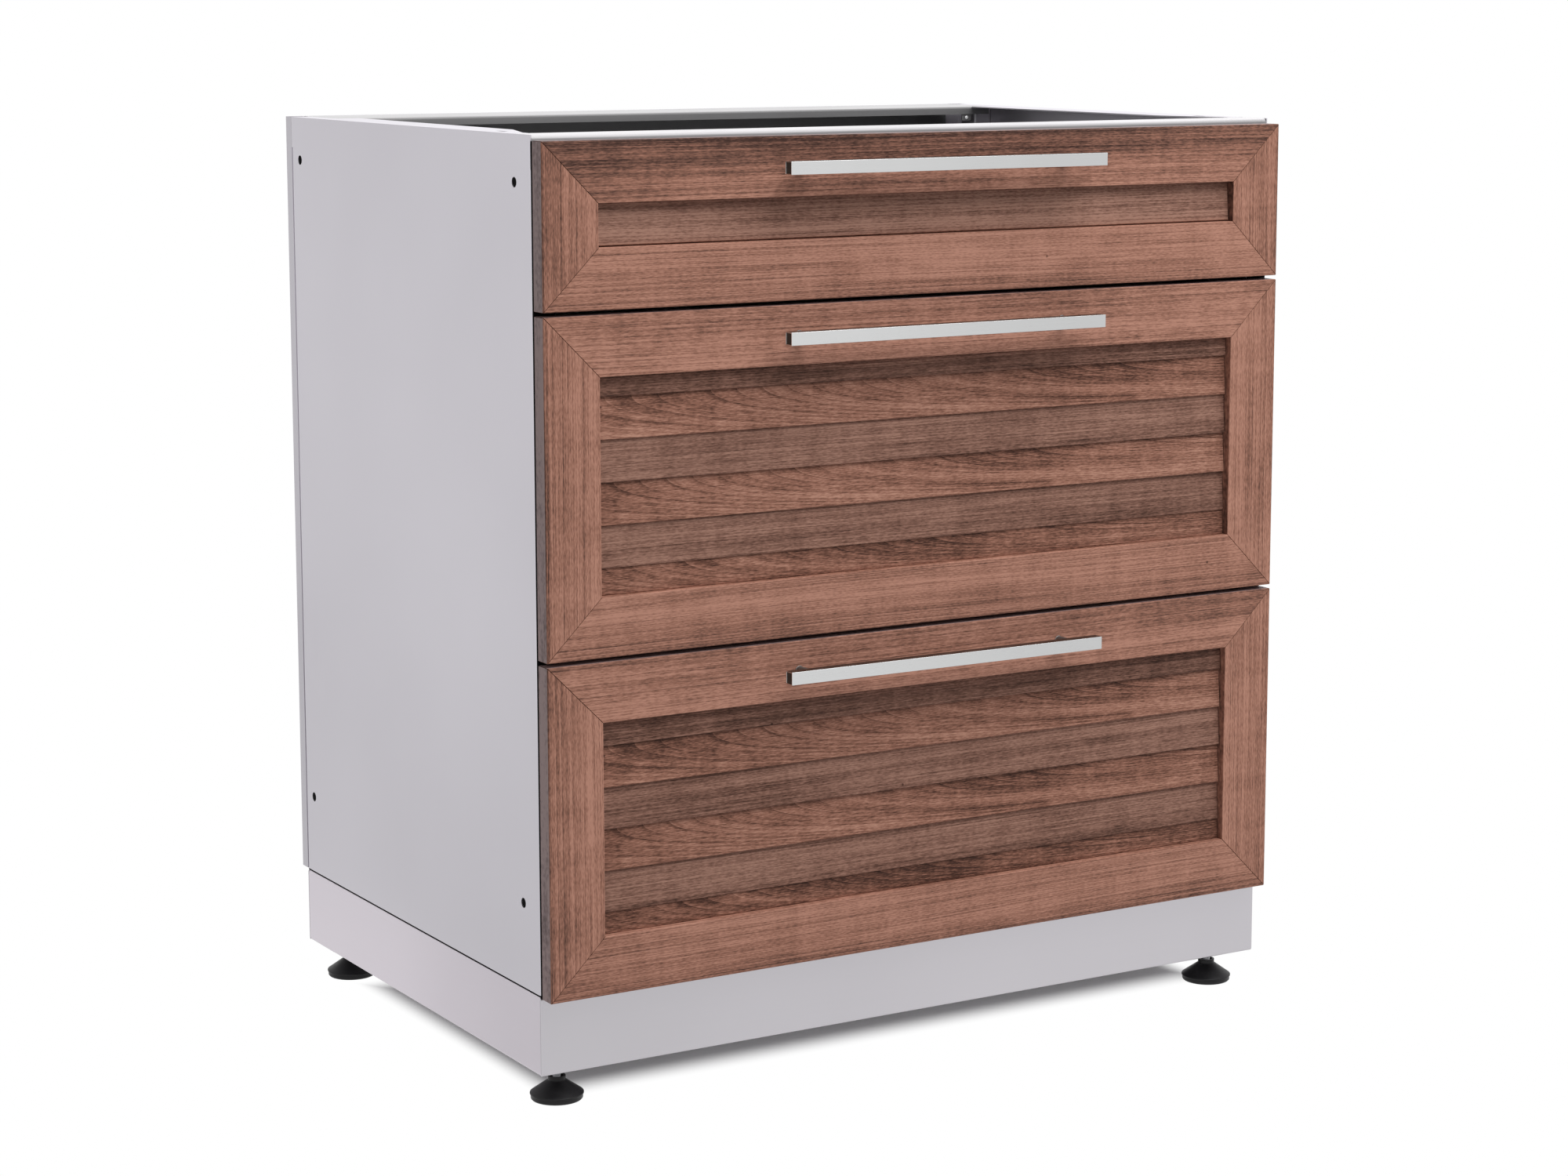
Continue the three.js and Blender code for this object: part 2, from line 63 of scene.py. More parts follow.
# Wood: eased edges, the gaps of mitres and slats, and how far the slats stand back from the frame
wood_round = 0.0013
wood_inner_round = 0.0009
mitre_gap = 0.0002
rabbet_width = 0.008
member_lip = 0.0097
slat_round = 0.0008
slat_proud_depth = 0.0068
slat_back_depth = 0.0098
slat_lap = 0.0025
slat_back_gap = 0.0003
slat_pitch = 0.0386
infill_end_gap = 0.001

# Handles: a bar with a shallow recess in its ends, on posts with a slightly flared foot
bar_thickness = 0.011
bar_round = 0.0003
bar_end_round = 0.0001
bar_lip_inset = 0.00081
bar_recess_inset = 0.0009
bar_recess_depth = 0.0003
bar_post_radius = 0.004
bar_post_inset = 0.02755
bar_post_chamfer = 0.0006
bar_post_flare = 0.0003

# Black strips and discs put in as painted shade in the gaps and holes of the carcass, and the tabs under
# the rear rail
shadow_strip_thickness = 0.0016
shadow_strip_width = 0.0213
shadow_strip_inset = 0.0005
shadow_strip_round = 0.0004
base_shadow_strip_gap = 0.0001
tab_width = 0.012
tab_height = 0.007
tab_overlap = 0.003
tab_inset = 0.0014
tab_round = 0.002
rail_lip_depth = 0.0085
hole_shadow_radius = 0.0046
hole_shadow_depth = 0.002
hole_shadow_sunk = 0.0009
hole_shadow_round = 0.0004
join_hole_from_front = 0.0328
join_hole_from_rear = 0.0205
join_hole_from_top = 0.0425
join_hole_from_bottom = 0.0793

# Screws, and the sheet and the clearance between the faces that they join. Turned shapes end at
# axis_radius_share of their radius instead of at a point.
sheet = 0.0012
touch = 0.0003
screw_radius = 0.0038
handle_screw_radius = 0.0042
tab_screw_radius = 0.0019
screw_height_share = 0.38
screw_round_share = 0.8
socket_radius_share = 0.35
socket_floor_share = 0.3
axis_radius_share = 0.05
front_screw_inset = 0.04
front_screw_shares = (0.22, 0.78)
runner_screw_shares = (0.08, 0.5, 0.92)

# Foot pads, turned: a hollow underside, a stepped disc, a cone and a bored collar
pad_round = 0.0008
pad_fine_round = 0.0004
pad_axis_radius = 0.0005
pad_hollow_radius = 0.0190
pad_hollow_depth = 0.0006
pad_rim_inner_radius = 0.0196
pad_rim_radius = 0.0232
pad_skirt_radius = 0.0242
pad_skirt_bottom = 0.0012
pad_skirt_top = 0.0043
pad_disc_radius = 0.0250
pad_disc_bottom = 0.0050
pad_disc_top = 0.0062
pad_cone_radius = 0.0092
pad_cone_top = 0.0174
pad_collar_radius = 0.0083
pad_collar_bottom = 0.0182
pad_socket_radius = 0.0062
pad_socket_depth = 0.0055
pad_bore_radius = 0.0044
pad_bore_depth = 0.0128
thread_pitch = 0.00125
thread_depth = 0.0006

# Smoothness of bends and round shapes
sharp_angle = math.radians(35)
weld_distance = 0.000002
corner_steps = 4
post_sides = 40
foot_sides = 96
stem_sides = 24
screw_sides = 24
thread_rows_per_turn = 6

# Directions
right_way = Vector((1, 0, 0))
up_way = Vector((0, 0, 1))
front_way = Vector((0, -1, 0))
back_way = Vector((0, 1, 0))

# The drawers, and the two sides with the sign of their X
drawer_names = ("top", "middle", "bottom")
columns = (("left", -1), ("right", 1))

# Which way each member of a frame runs, and which way its outer edge faces
member_ways = {
    "upper": (right_way, up_way),
    "lower": (-right_way, -up_way),
    "left": (up_way, -right_way),
    "right": (-up_way, right_way),
}

# Where each board lay in its log: its place along it, and how far across and deep from the pith
drawer_log_step = 1.1
member_log_places = {
    "upper": (0.11, 0.012),
    "lower": (0.31, 0.02),
    "left": (0.52, 0.016),
    "right": (0.74, 0.024),
}
slat_log_step = 0.05
slat_log_depth = 0.034
figured_pith = 0.005
plain_pith = 0.4
plain_pith_step = 0.13
plain_pith_starts = {"middle": 0.0, "bottom": 1.0}
plain_board_log_place = (3.4, 0.03, 0.03)
back_board_log_place = (5, 0.2, 0.02)

# Where each drawer's slats begin below the opening, and how they look from the top one down
slat_starts = {"middle": 0.0184, "bottom": 0.0229}
slat_finishes = ("shaded_slat", "figured_slat", "grey_slat", "figured_slat", "grey_slat", "figured_slat")

# How much lighter or darker each board is than its kind, at its start and at its end
plain_board_tone_shares = (0, 0)
slat_tone_shares = {
    "middle": ((-0.04, 0.13), (0.11, -0.09), (0.03, 0.06), (0.03, -0.01), (0.08, -0.04), (-0.1, -0.16)),
    "bottom": ((0.04, -0.06), (-0.02, 0), (-0.03, 0.1), (0.02, -0.11), (0.15, -0.1), (-0.23, -0.28)),
}
member_tone_shares = {
    "top": {"upper": (-0.11, -0.02), "lower": (0.12, 0.06), "left": (-0.01, -0.01), "right": (0.01, 0.01)},
    "middle": {"upper": (0.1, 0.1), "lower": (0.1, 0.1), "left": (0.07, 0.07), "right": (0.13, 0.13)},
    "bottom": {"upper": (0.1, 0.08), "lower": (0.07, 0.07), "left": (0.04, 0.04), "right": (0.14, 0.14)},
}


# The middle of what runs from 0 to 1, such as noise
middle_value = 0.5


# Nodes of a material, added one at a time
def add_node(tree, kind, inputs=None, **settings):
    node = tree.nodes.new(kind)
    for name, value in settings.items():
        setattr(node, name, value)
    for name, value in (inputs or {}).items():
        socket = node.inputs[name]
        if isinstance(value, bpy.types.NodeSocket):
            tree.links.new(value, socket)
        else:
            socket.default_value = value
    return node


def calculate(tree, operation, *values):
    node = add_node(tree, "ShaderNodeMath", dict(enumerate(values)), operation=operation)
    return node.outputs[0]


def axes_of(tree, vector):
    return add_node(tree, "ShaderNodeSeparateXYZ", {"Vector": vector}).outputs


def vector_of(tree, **axes):
    return add_node(tree, "ShaderNodeCombineXYZ", axes).outputs[0]


# The long side of a right-angled triangle, from its two short ones
def diagonal(tree, one, other):
    squares = [calculate(tree, "MULTIPLY", side, side) for side in (one, other)]
    return calculate(tree, "SQRT", calculate(tree, "ADD", *squares))


def scaled(tree, colour, level):
    node = add_node(tree, "ShaderNodeVectorMath", {0: colour, "Scale": level}, operation="SCALE")
    return node.outputs[0]


def noise(tree, vector, rate, detail=2.0, roughness=0.5, distortion=0.0):
    stretched = add_node(tree, "ShaderNodeMapping", {"Vector": vector, "Scale": rate}).outputs["Vector"]
    inputs = {
        "Vector": stretched,
        "Scale": 1.0,
        "Detail": detail,
        "Roughness": roughness,
        "Distortion": distortion,
    }
    return add_node(tree, "ShaderNodeTexNoise", inputs).outputs[0]


def centred(tree, value):
    return calculate(tree, "SUBTRACT", value, middle_value)


def remap(tree, value, from_low, from_high, to_low, to_high, kind="LINEAR"):
    inputs = {
        "Value": value,
        "From Min": from_low,
        "From Max": from_high,
        "To Min": to_low,
        "To Max": to_high,
    }
    return add_node(tree, "ShaderNodeMapRange", inputs, interpolation_type=kind).outputs["Result"]


def ramp(tree, factor, stops):
    node = add_node(tree, "ShaderNodeValToRGB", {"Fac": factor})
    elements = node.color_ramp.elements
    while len(elements) < len(stops):
        elements.new(middle_value)
    for element, (position, colour) in zip(elements, stops):
        element.position = position
        element.color = (*colour, 1)
    return node.outputs["Color"]


def bump(tree, height, strength, distance):
    inputs = {"Height": height, "Strength": strength, "Distance": distance}
    return add_node(tree, "ShaderNodeBump", inputs).outputs["Normal"]


def new_material(name):
    material = bpy.data.materials.new(name)
    material.use_nodes = True
    tree = material.node_tree
    return material, tree, tree.nodes["Principled BSDF"]


def feed(tree, shader, **sources):
    for name, source in sources.items():
        tree.links.new(source, shader.inputs[name.replace("_", " ")])


# How often the features of the grain repeat in a metre, along the log, across it and in depth
wander_rate = (1.3, 11, 11)
fibre_rate = (6, 1700, 120)
grit_rate = (210, 950, 300)
streak_rate = (5, 760, 40)
band_rate = (1.2, 120, 14)
ripple_rate = (70, 16, 16)
cloud_rate = (5, 14, 14)
pore_rate = (32, 2000, 2000)
fleck_rate = (70, 2200, 2200)
blotch_rate = (26, 110, 110)

# How strongly each feature of the grain shows
fibre_share = 0.7
grit_share = 0.88
streak_share = 0.85
band_share = 0.6
ripple_share = 0.32
cloud_share = 0.4
blotch_share = 0.3
pore_share = -0.16
fleck_share = 0.1
pale_ring_share = 0.1
knot_share = -0.5
pore_relief_share = -0.6

# Which part of each pattern makes a knot, a pore, a fleck, a painted shade at an edge, a tone across a
# board or a ring, and how fine it is
knot_rate = 5.5
knot_chance = 0.4
knot_limits = (0.004, 0.009)
pore_limits = (0.56, 0.66)
fleck_limits = (0.60, 0.70)
fleck_distortion = 0.3
edge_shade_limits = (0.0, 0.14)
edge_tone_limits = (0.25, 0.75)
faintest_ring = 0.15
pale_ring_power = 14
grain_detail = 1.0
streak_roughness = 0.6

# The finish of the wood
walnut_roughness = (0.58, 0.46)
walnut_relief = 0.0001
walnut_relief_strength = 0.2
walnut_gloss = 0.14


def wood_layer(tree, name):
    node = add_node(tree, "ShaderNodeAttribute", attribute_name=name, attribute_type="GEOMETRY")
    return node.outputs["Vector"]


# Growth rings round the pith: how dark each starts, fading outward, and a pale line where it ends
def growth_rings(tree, radius, ring_spacing, ring_power):
    count = calculate(tree, "DIVIDE", radius, ring_spacing)
    phase = calculate(tree, "FRACT", count)
    ring = {"W": calculate(tree, "FLOOR", count)}
    strength = add_node(tree, "ShaderNodeTexWhiteNoise", ring, noise_dimensions="1D").outputs["Value"]
    fading = calculate(tree, "POWER", calculate(tree, "SUBTRACT", 1.0, phase), ring_power)
    dark_ring = calculate(tree, "MULTIPLY", fading, remap(tree, strength, 0, 1, faintest_ring, 1))
    pale_ring = calculate(tree, "POWER", phase, pale_ring_power)
    return dark_ring, pale_ring


# Small dark knots here and there on the face of a board
def knots(tree, along, across):
    inputs = {"Vector": vector_of(tree, X=along, Y=across), "Scale": knot_rate}
    cells = add_node(tree, "ShaderNodeTexVoronoi", inputs, voronoi_dimensions="2D").outputs
    chosen = calculate(tree, "LESS_THAN", axes_of(tree, cells["Color"])["X"], knot_chance)
    spot = remap(tree, cells["Distance"], *knot_limits, 1, 0, "SMOOTHSTEP")
    return calculate(tree, "MULTIPLY", chosen, spot)


# Walnut: growth rings cut by the board, with fibres, pores, flecks and soft bands of tone. Its log
# leans against the board by lean. The board's tone changes from its outer to its inner edge, and a
# painted shade of the given depth is added right at the outer one.
def walnut(
    name, stops, ring_spacing, ring_share, ring_power, lean, tone, wander_share,
    edge_tones=(0, 0), painted_edge_shade=0
):
    material, tree, shader = new_material(name)
    place = wood_layer(tree, "grain")
    along, across, depth = axes_of(tree, place)
    board_tone, from_edge, _ = axes_of(tree, wood_layer(tree, "look"))
    wander = noise(tree, place, wander_rate, detail=grain_detail)
    wander_reach = ring_spacing * wander_share
    tilted = calculate(tree, "MULTIPLY_ADD", along, lean, depth)
    radius = calculate(tree, "MULTIPLY_ADD", wander, wander_reach, diagonal(tree, across, tilted))
    dark_ring, pale_ring = growth_rings(tree, radius, ring_spacing, ring_power)
    shifted = calculate(tree, "MULTIPLY_ADD", wander, wander_reach, across)
    follow = vector_of(tree, X=along, Y=radius, Z=depth)
    straight = vector_of(tree, X=along, Y=shifted, Z=depth)
    pores = noise(tree, place, pore_rate, detail=grain_detail)
    pore = remap(tree, pores, *pore_limits, 0, 1)
    flecks = noise(tree, place, fleck_rate, detail=grain_detail, distortion=fleck_distortion)
    fleck = remap(tree, flecks, *fleck_limits, 0, 1)
    soft_parts = (
        (noise(tree, straight, fibre_rate, detail=grain_detail), fibre_share),
        (noise(tree, straight, grit_rate, detail=grain_detail), grit_share),
        (noise(tree, follow, streak_rate, roughness=streak_roughness), streak_share),
        (noise(tree, follow, band_rate), band_share),
        (noise(tree, place, ripple_rate), ripple_share),
        (noise(tree, place, cloud_rate), cloud_share),
        (noise(tree, place, blotch_rate), blotch_share),
    )
    # A painted shade right at the outer edge, and the board's own tone from its outer to its inner edge
    edge_shade_line = remap(tree, from_edge, *edge_shade_limits, painted_edge_shade, 0, "SMOOTHSTEP")
    edge_tone = remap(tree, from_edge, *edge_tone_limits, *edge_tones, "SMOOTHSTEP")
    plain_value = calculate(tree, "ADD", board_tone, tone)
    value = calculate(tree, "ADD", plain_value, calculate(tree, "ADD", edge_shade_line, edge_tone))
    value = calculate(tree, "MULTIPLY_ADD", dark_ring, -ring_share, value)
    value = calculate(tree, "MULTIPLY_ADD", pale_ring, pale_ring_share, value)
    for source, share in soft_parts:
        value = calculate(tree, "MULTIPLY_ADD", centred(tree, source), share, value)
    value = calculate(tree, "MULTIPLY_ADD", pore, pore_share, value)
    value = calculate(tree, "MULTIPLY_ADD", fleck, fleck_share, value)
    value = calculate(tree, "MULTIPLY_ADD", knots(tree, along, across), knot_share, value)
    height = calculate(tree, "MULTIPLY_ADD", pore, pore_relief_share, value)
    relief = bump(tree, height, walnut_relief_strength, walnut_relief)
    rough = remap(tree, value, 0, 1, *walnut_roughness)
    feed(tree, shader, Base_Color=ramp(tree, value, stops), Roughness=rough, Normal=relief)
    shader.inputs["Specular IOR Level"].default_value = walnut_gloss
    return material


# Features of the steel's finish: how often they repeat in a metre, and how strongly they show
steel_cloud_rate = (2.3, 2.3, 2.9)
steel_smudge_rate = (19, 19, 11)
brush_detail = 3.0
brush_roughness = 0.65
smudge_roughness = 0.6
brush_share = 0.35
smudge_share = 0.25
rough_smudge_share = 0.5
tone_limits = (0.25, 0.75)
rough_limits = (0.2, 0.8)
brush_relief = 0.00005
brush_relief_strength = 0.06

# Which faces look to the middle of the unit or up, and the painted shade that darkens the inner ones unless
# said
inner_reach = 0.05
inner_shade_share = 0.7
upward_limits = (0.55, 1.0)


# 0 on the upright faces that look toward the middle of the unit, and 1 on the rest: the mask of the inner
# faces' painted shade, which on the back panel is a painted lightening instead
def faces_outward(tree, place):
    normal = add_node(tree, "ShaderNodeTexCoord").outputs["Normal"]
    level = add_node(tree, "ShaderNodeVectorMath", {0: normal, 1: (1, 1, 0)}, operation="MULTIPLY")
    reach = add_node(tree, "ShaderNodeVectorMath", {0: level.outputs[0], 1: place}, operation="DOT_PRODUCT")
    return calculate(tree, "GREATER_THAN", reach.outputs["Value"], -inner_reach)


# Painted shade along one axis: the steel full bright at one place and darkened at another
def painted_fade_level(tree, place, axis, shaded_place, bright_place, shaded_share):
    reach = axes_of(tree, place)[axis]
    return remap(tree, reach, shaded_place, bright_place, shaded_share, 1, "SMOOTHSTEP")


# Satin steel: faint brushing along one direction, soft clouds of tone and a trace of hue. A fade paints
# shade along one axis and on faces that look to the middle; faces that look up get a painted highlight or
# shade.
def steel(name, colours, brush, roughness_range, fade=None, painted_top_share=None, inner_light_share=inner_shade_share):
    material, tree, shader = new_material(name)
    place = add_node(tree, "ShaderNodeTexCoord").outputs["Object"]
    lines = noise(tree, place, brush, detail=brush_detail, roughness=brush_roughness)
    cloud = noise(tree, place, steel_cloud_rate)
    smudges = noise(tree, place, steel_smudge_rate, detail=brush_detail, roughness=smudge_roughness)
    smudge = centred(tree, smudges)
    factor = calculate(tree, "MULTIPLY_ADD", centred(tree, lines), brush_share, cloud)
    factor = calculate(tree, "MULTIPLY_ADD", smudge, smudge_share, factor)
    colour = ramp(tree, factor, tuple(zip(tone_limits, colours)))
    if fade:
        inward = remap(tree, faces_outward(tree, place), 0, 1, inner_light_share, 1)
        level = calculate(tree, "MULTIPLY", painted_fade_level(tree, place, **fade), inward)
        colour = scaled(tree, colour, level)
    if painted_top_share:
        upward = axes_of(tree, add_node(tree, "ShaderNodeTexCoord").outputs["Normal"])["Z"]
        level = remap(tree, upward, *upward_limits, 1, painted_top_share, "SMOOTHSTEP")
        colour = scaled(tree, colour, level)
    unevenness = calculate(tree, "MULTIPLY_ADD", smudge, rough_smudge_share, lines)
    rough = remap(tree, unevenness, *rough_limits, *roughness_range)
    relief = bump(tree, lines, brush_relief_strength, brush_relief)
    feed(tree, shader, Base_Color=colour, Roughness=rough, Normal=relief)
    shader.inputs["Metallic"].default_value = 1.0
    return material


# How fine and how rough the scuffs of a plastic are, and how far its speckle stands out
scuff_detail = 4.0
scuff_roughness = 0.65
speckle_relief_strength = 0.15


# Matt plastic or rubber with a fine speckle and some scuffs, also for the black of the painted shade and
# the bars' painted dark ends
def dark_matt(name, colours, roughness_range, gloss, speckle_rate, scuff_rate, relief):
    material, tree, shader = new_material(name)
    place = add_node(tree, "ShaderNodeTexCoord").outputs["Object"]
    speckle = noise(tree, place, (speckle_rate, speckle_rate, speckle_rate))
    scuff = noise(tree, place, scuff_rate, detail=scuff_detail, roughness=scuff_roughness)
    colour = ramp(tree, scuff, tuple(zip(tone_limits, colours)))
    rough = remap(tree, scuff, *rough_limits, *roughness_range)
    raised = bump(tree, speckle, speckle_relief_strength, relief)
    feed(tree, shader, Base_Color=colour, Roughness=rough, Normal=raised)
    shader.inputs["Specular IOR Level"].default_value = gloss
    return material


# Colours of the walnut, from its darkest tone to its palest
walnut_reddish = (
    (0.0, (0.055, 0.024, 0.017)),
    (0.3, (0.174, 0.078, 0.053)),
    (0.6, (0.342, 0.161, 0.112)),
    (1.0, (0.550, 0.296, 0.216)),
)
walnut_brown = (
    (0.0, (0.040, 0.019, 0.013)),
    (0.3, (0.115, 0.055, 0.039)),
    (0.6, (0.235, 0.119, 0.087)),
    (1.0, (0.410, 0.228, 0.170)),
)
# A greyed walnut for the outer edge faces: the grey is a painted sheen
walnut_grey_sheen = (
    (0.0, (0.085, 0.062, 0.062)),
    (0.3, (0.150, 0.108, 0.108)),
    (0.6, (0.240, 0.175, 0.175)),
    (1.0, (0.445, 0.330, 0.322)),
)
walnut_frames = (
    (0.0, (0.055, 0.027, 0.021)),
    (0.3, (0.174, 0.084, 0.061)),
    (0.6, (0.342, 0.161, 0.112)),
    (1.0, (0.550, 0.280, 0.204)),
)

# The walnut of the frames: most members and the uppermost one, with a thin painted shade along the outer
# edge and the uppermost one's upper edge darker still as painted shade; the recess's walls, darkened as
# painted shade; the outer edges, grey as a painted sheen
frame_rings = {
    "ring_spacing": 0.0052,
    "ring_share": 0.33,
    "ring_power": 4.0,
    "lean": 0.003,
    "wander_share": 2.6,
}
frame_walnut = walnut(
    "frame_walnut", walnut_frames, **frame_rings, tone=0.67, edge_tones=(-0.06, 0.06), painted_edge_shade=-0.12
)
# The uppermost member: its upper edge darkened as a painted shade
shaded_walnut = walnut(
    "shaded_walnut", walnut_frames, **frame_rings, tone=0.67, edge_tones=(-0.25, 0.09), painted_edge_shade=-0.12
)
# The recess's walls: the frame walnut darkened as a painted shade
recess_shade_walnut = walnut("recess_shade_walnut", walnut_frames, **frame_rings, tone=0.3)
# The outer edges: walnut greyed as a painted sheen
sheen_edge_walnut = walnut(
    "sheen_edge_walnut", walnut_grey_sheen, ring_spacing=0.0031, ring_share=0.3, ring_power=8.0, lean=0.003, tone=0.92,
    wander_share=3.0
)

# The walnut of the slats, with a painted shade along their upper edges where the slat or frame above shades
# them, and of the plain board
slat_walnuts = {
    # The top slat: darker as its board's own tone, and darker still as a painted shade under the frame's
    # upper member
    "shaded_slat": walnut(
        "shaded_slat_walnut", walnut_brown, ring_spacing=0.0030, ring_share=0.3, ring_power=6.0, lean=0.003,
        tone=0.48, wander_share=3.0, painted_edge_shade=-0.4
    ),
    "grey_slat": walnut(
        "grey_slat_walnut", walnut_brown, ring_spacing=0.0028, ring_share=0.3, ring_power=6.0, lean=0.003,
        tone=0.63, wander_share=3.0, edge_tones=(0.05, -0.05), painted_edge_shade=-0.4
    ),
    "figured_slat": walnut(
        "figured_slat_walnut", walnut_reddish, ring_spacing=0.0018, ring_share=0.44, ring_power=3.4,
        lean=-0.068, tone=0.59, wander_share=1.3, edge_tones=(-0.07, 0.06), painted_edge_shade=-0.38
    ),
}
board_walnut = walnut(
    "board_walnut", walnut_brown, ring_spacing=0.0034, ring_share=0.3, ring_power=3.0, lean=-0.012,
    tone=0.78, wander_share=1.5, edge_tones=(-0.05, 0.08)
)

# Colours of the steels and plastics: the darker and the paler tone of each
carcass_tones = ((0.588, 0.567, 0.608), (0.645, 0.623, 0.666))
back_tones = ((0.503, 0.485, 0.520), (0.552, 0.533, 0.570))
plinth_tones = ((0.520, 0.503, 0.530), (0.560, 0.541, 0.570))
plinth_side_tones = ((0.600, 0.558, 0.606), (0.640, 0.598, 0.642))
# The rails darkened as painted shade: the front rail's face, the rear rail's lip and its tabs
front_rail_shade_tones = ((0.305, 0.299, 0.305), (0.345, 0.339, 0.345))
rear_rail_shade_tones = ((0.165, 0.163, 0.165), (0.192, 0.190, 0.192))
tray_tones = ((0.50, 0.50, 0.51), (0.56, 0.56, 0.565))
zinc_tones = ((0.42, 0.43, 0.44), (0.54, 0.545, 0.55))
# The tab screws: a steel whose pale tone is in part a painted glint
glint_screw_tones = ((0.820, 0.820, 0.820), (0.880, 0.880, 0.880))
bar_tones = ((0.635, 0.638, 0.638), (0.692, 0.695, 0.695))
# The handle posts: the bar's steel darkened as painted shade between the bar and the front
post_shade_tones = ((0.200, 0.200, 0.200), (0.240, 0.240, 0.240))
foot_tones = ((0.005, 0.005, 0.006), (0.014, 0.013, 0.014))
# The bars' ends made near-black as a painted reflection of their dark surroundings
bar_end_reflection_tones = ((0.024, 0.024, 0.021), (0.036, 0.036, 0.031))
# Black for the strips and discs of painted shade
shadow_black_tones = ((0.003, 0.003, 0.003), (0.008, 0.007, 0.008))

# How often the brushing repeats in a metre along X, Y and Z
upright_brush = (900, 900, 6)
level_brush = (6, 900, 900)
deep_brush = (900, 6, 900)
tray_brush = (6, 800, 800)
runner_brush = (240, 18, 240)
bar_brush = (9, 1300, 1300)
even_grain = (300, 300, 300)

# How rough each finish is, at its smoothest and at its roughest
carcass_roughness = (0.36, 0.46)
plinth_roughness = (0.34, 0.44)
rail_roughness = (0.54, 0.64)
dull_roughness = (0.50, 0.60)
tray_roughness = (0.3, 0.42)
zinc_roughness = (0.24, 0.4)
bar_roughness = (0.24, 0.36)

# Painted shade of a steel: along which axis, where it is shaded and where bright, and what the shaded end
# keeps
carcass_painted_fade = {"axis": "Z", "shaded_place": 0.12, "bright_place": 0.62, "shaded_share": 0.9}
plinth_painted_fade = {"axis": "Y", "shaded_place": -0.22, "bright_place": 0.1, "shaded_share": 0.91}
bar_painted_fade = {"axis": "X", "shaded_place": 0.2, "bright_place": -0.2, "shaded_share": 0.87}

# Painted light: how much paler the faces that look up are as a painted highlight, darker on the bars as a
# painted shade, and how much paler the back's inner face is made
carcass_top_highlight_share = 1.27
front_rail_top_highlight_share = 2.35
rear_rail_top_highlight_share = 3.5
bar_top_shade_share = 0.12
back_inner_light_share = 1.25

# The steels
upright_steel = steel(
    "upright_steel", carcass_tones, upright_brush, carcass_roughness, carcass_painted_fade, carcass_top_highlight_share
)
back_steel = steel(
    "back_steel", back_tones, upright_brush, carcass_roughness, carcass_painted_fade, carcass_top_highlight_share,
    back_inner_light_share
)
level_steel = steel("level_steel", plinth_tones, level_brush, plinth_roughness)
deep_steel = steel("deep_steel", plinth_side_tones, deep_brush, plinth_roughness, plinth_painted_fade)
# The rails: painted shade on their faces and a painted highlight on their tops
front_rail_steel = steel(
    "top_steel", front_rail_shade_tones, level_brush, rail_roughness, painted_top_share=front_rail_top_highlight_share
)
rear_rail_steel = steel(
    "rear_rail_steel", rear_rail_shade_tones, level_brush, rail_roughness, painted_top_share=rear_rail_top_highlight_share
)
glint_screw_steel = steel("glint_screw_steel", glint_screw_tones, even_grain, dull_roughness)
tray_steel = steel("tray_steel", tray_tones, tray_brush, tray_roughness)
runner_zinc = steel("runner_zinc", zinc_tones, runner_brush, zinc_roughness)
bar_steel = steel("bar_steel", bar_tones, bar_brush, bar_roughness, bar_painted_fade, bar_top_shade_share)
shaded_post_steel = steel("shaded_post_steel", post_shade_tones, even_grain, dull_roughness)

# The plastic of the feet, the bars' painted dark ends and the black of the painted shade
foot_black = dark_matt(
    "black_plastic", foot_tones, roughness_range=(0.34, 0.52), gloss=0.25, speckle_rate=2400,
    scuff_rate=(60, 60, 220), relief=0.00004
)
painted_dark_bar_ends = dark_matt(
    "bar_end_painted_reflection", bar_end_reflection_tones, roughness_range=(0.4, 0.6), gloss=0.5, speckle_rate=1800,
    scuff_rate=(900, 900, 900), relief=0.00003
)
shadow_black = dark_matt(
    "painted_shadow_black", shadow_black_tones, roughness_range=(0.7, 0.9), gloss=0.06, speckle_rate=2100,
    scuff_rate=(90, 90, 40), relief=0.00004
)


# Shading of the solids that stay: welded, smooth over bends, crisp at edges
def bend_smoother():
    group = bpy.data.node_groups.new("smooth_bends", "GeometryNodeTree")
    group.interface.new_socket("Geometry", in_out="INPUT", socket_type="NodeSocketGeometry")
    group.interface.new_socket("Geometry", in_out="OUTPUT", socket_type="NodeSocketGeometry")
    start = group.nodes.new("NodeGroupInput")
    end = group.nodes.new("NodeGroupOutput")
    inputs = {"Geometry": start.outputs[0], "Distance": weld_distance}
    weld = add_node(group, "GeometryNodeMergeByDistance", inputs)
    inputs = {"Geometry": weld.outputs[0], "Name": "custom_normal"}
    bare = add_node(group, "GeometryNodeRemoveAttribute", inputs)
    smooth = add_node(group, "GeometryNodeSetShadeSmooth", {"Geometry": bare.outputs[0]}, domain="FACE")
    angle = group.nodes.new("GeometryNodeInputMeshEdgeAngle").outputs["Unsigned Angle"]
    inputs = {"A": angle, "B": sharp_angle}
    sharp = add_node(group, "FunctionNodeCompare", inputs, data_type="FLOAT", operation="GREATER_THAN")
    inputs = {"Geometry": smooth.outputs[0], "Selection": sharp.outputs[0], "Shade Smooth": False}
    crisp = add_node(group, "GeometryNodeSetShadeSmooth", inputs, domain="EDGE")
    group.links.new(crisp.outputs[0], end.inputs[0])
    return group


smooth_bends = bend_smoother()


def keep_solid(name, material):
    node = nodes[name]
    node.data.materials.clear()
    node.data.materials.append(material)
    node.modifiers.new("smooth_bends", "NODES").node_group = smooth_bends
    node.modifiers.new("even_shading", "WEIGHTED_NORMAL").keep_sharp = True


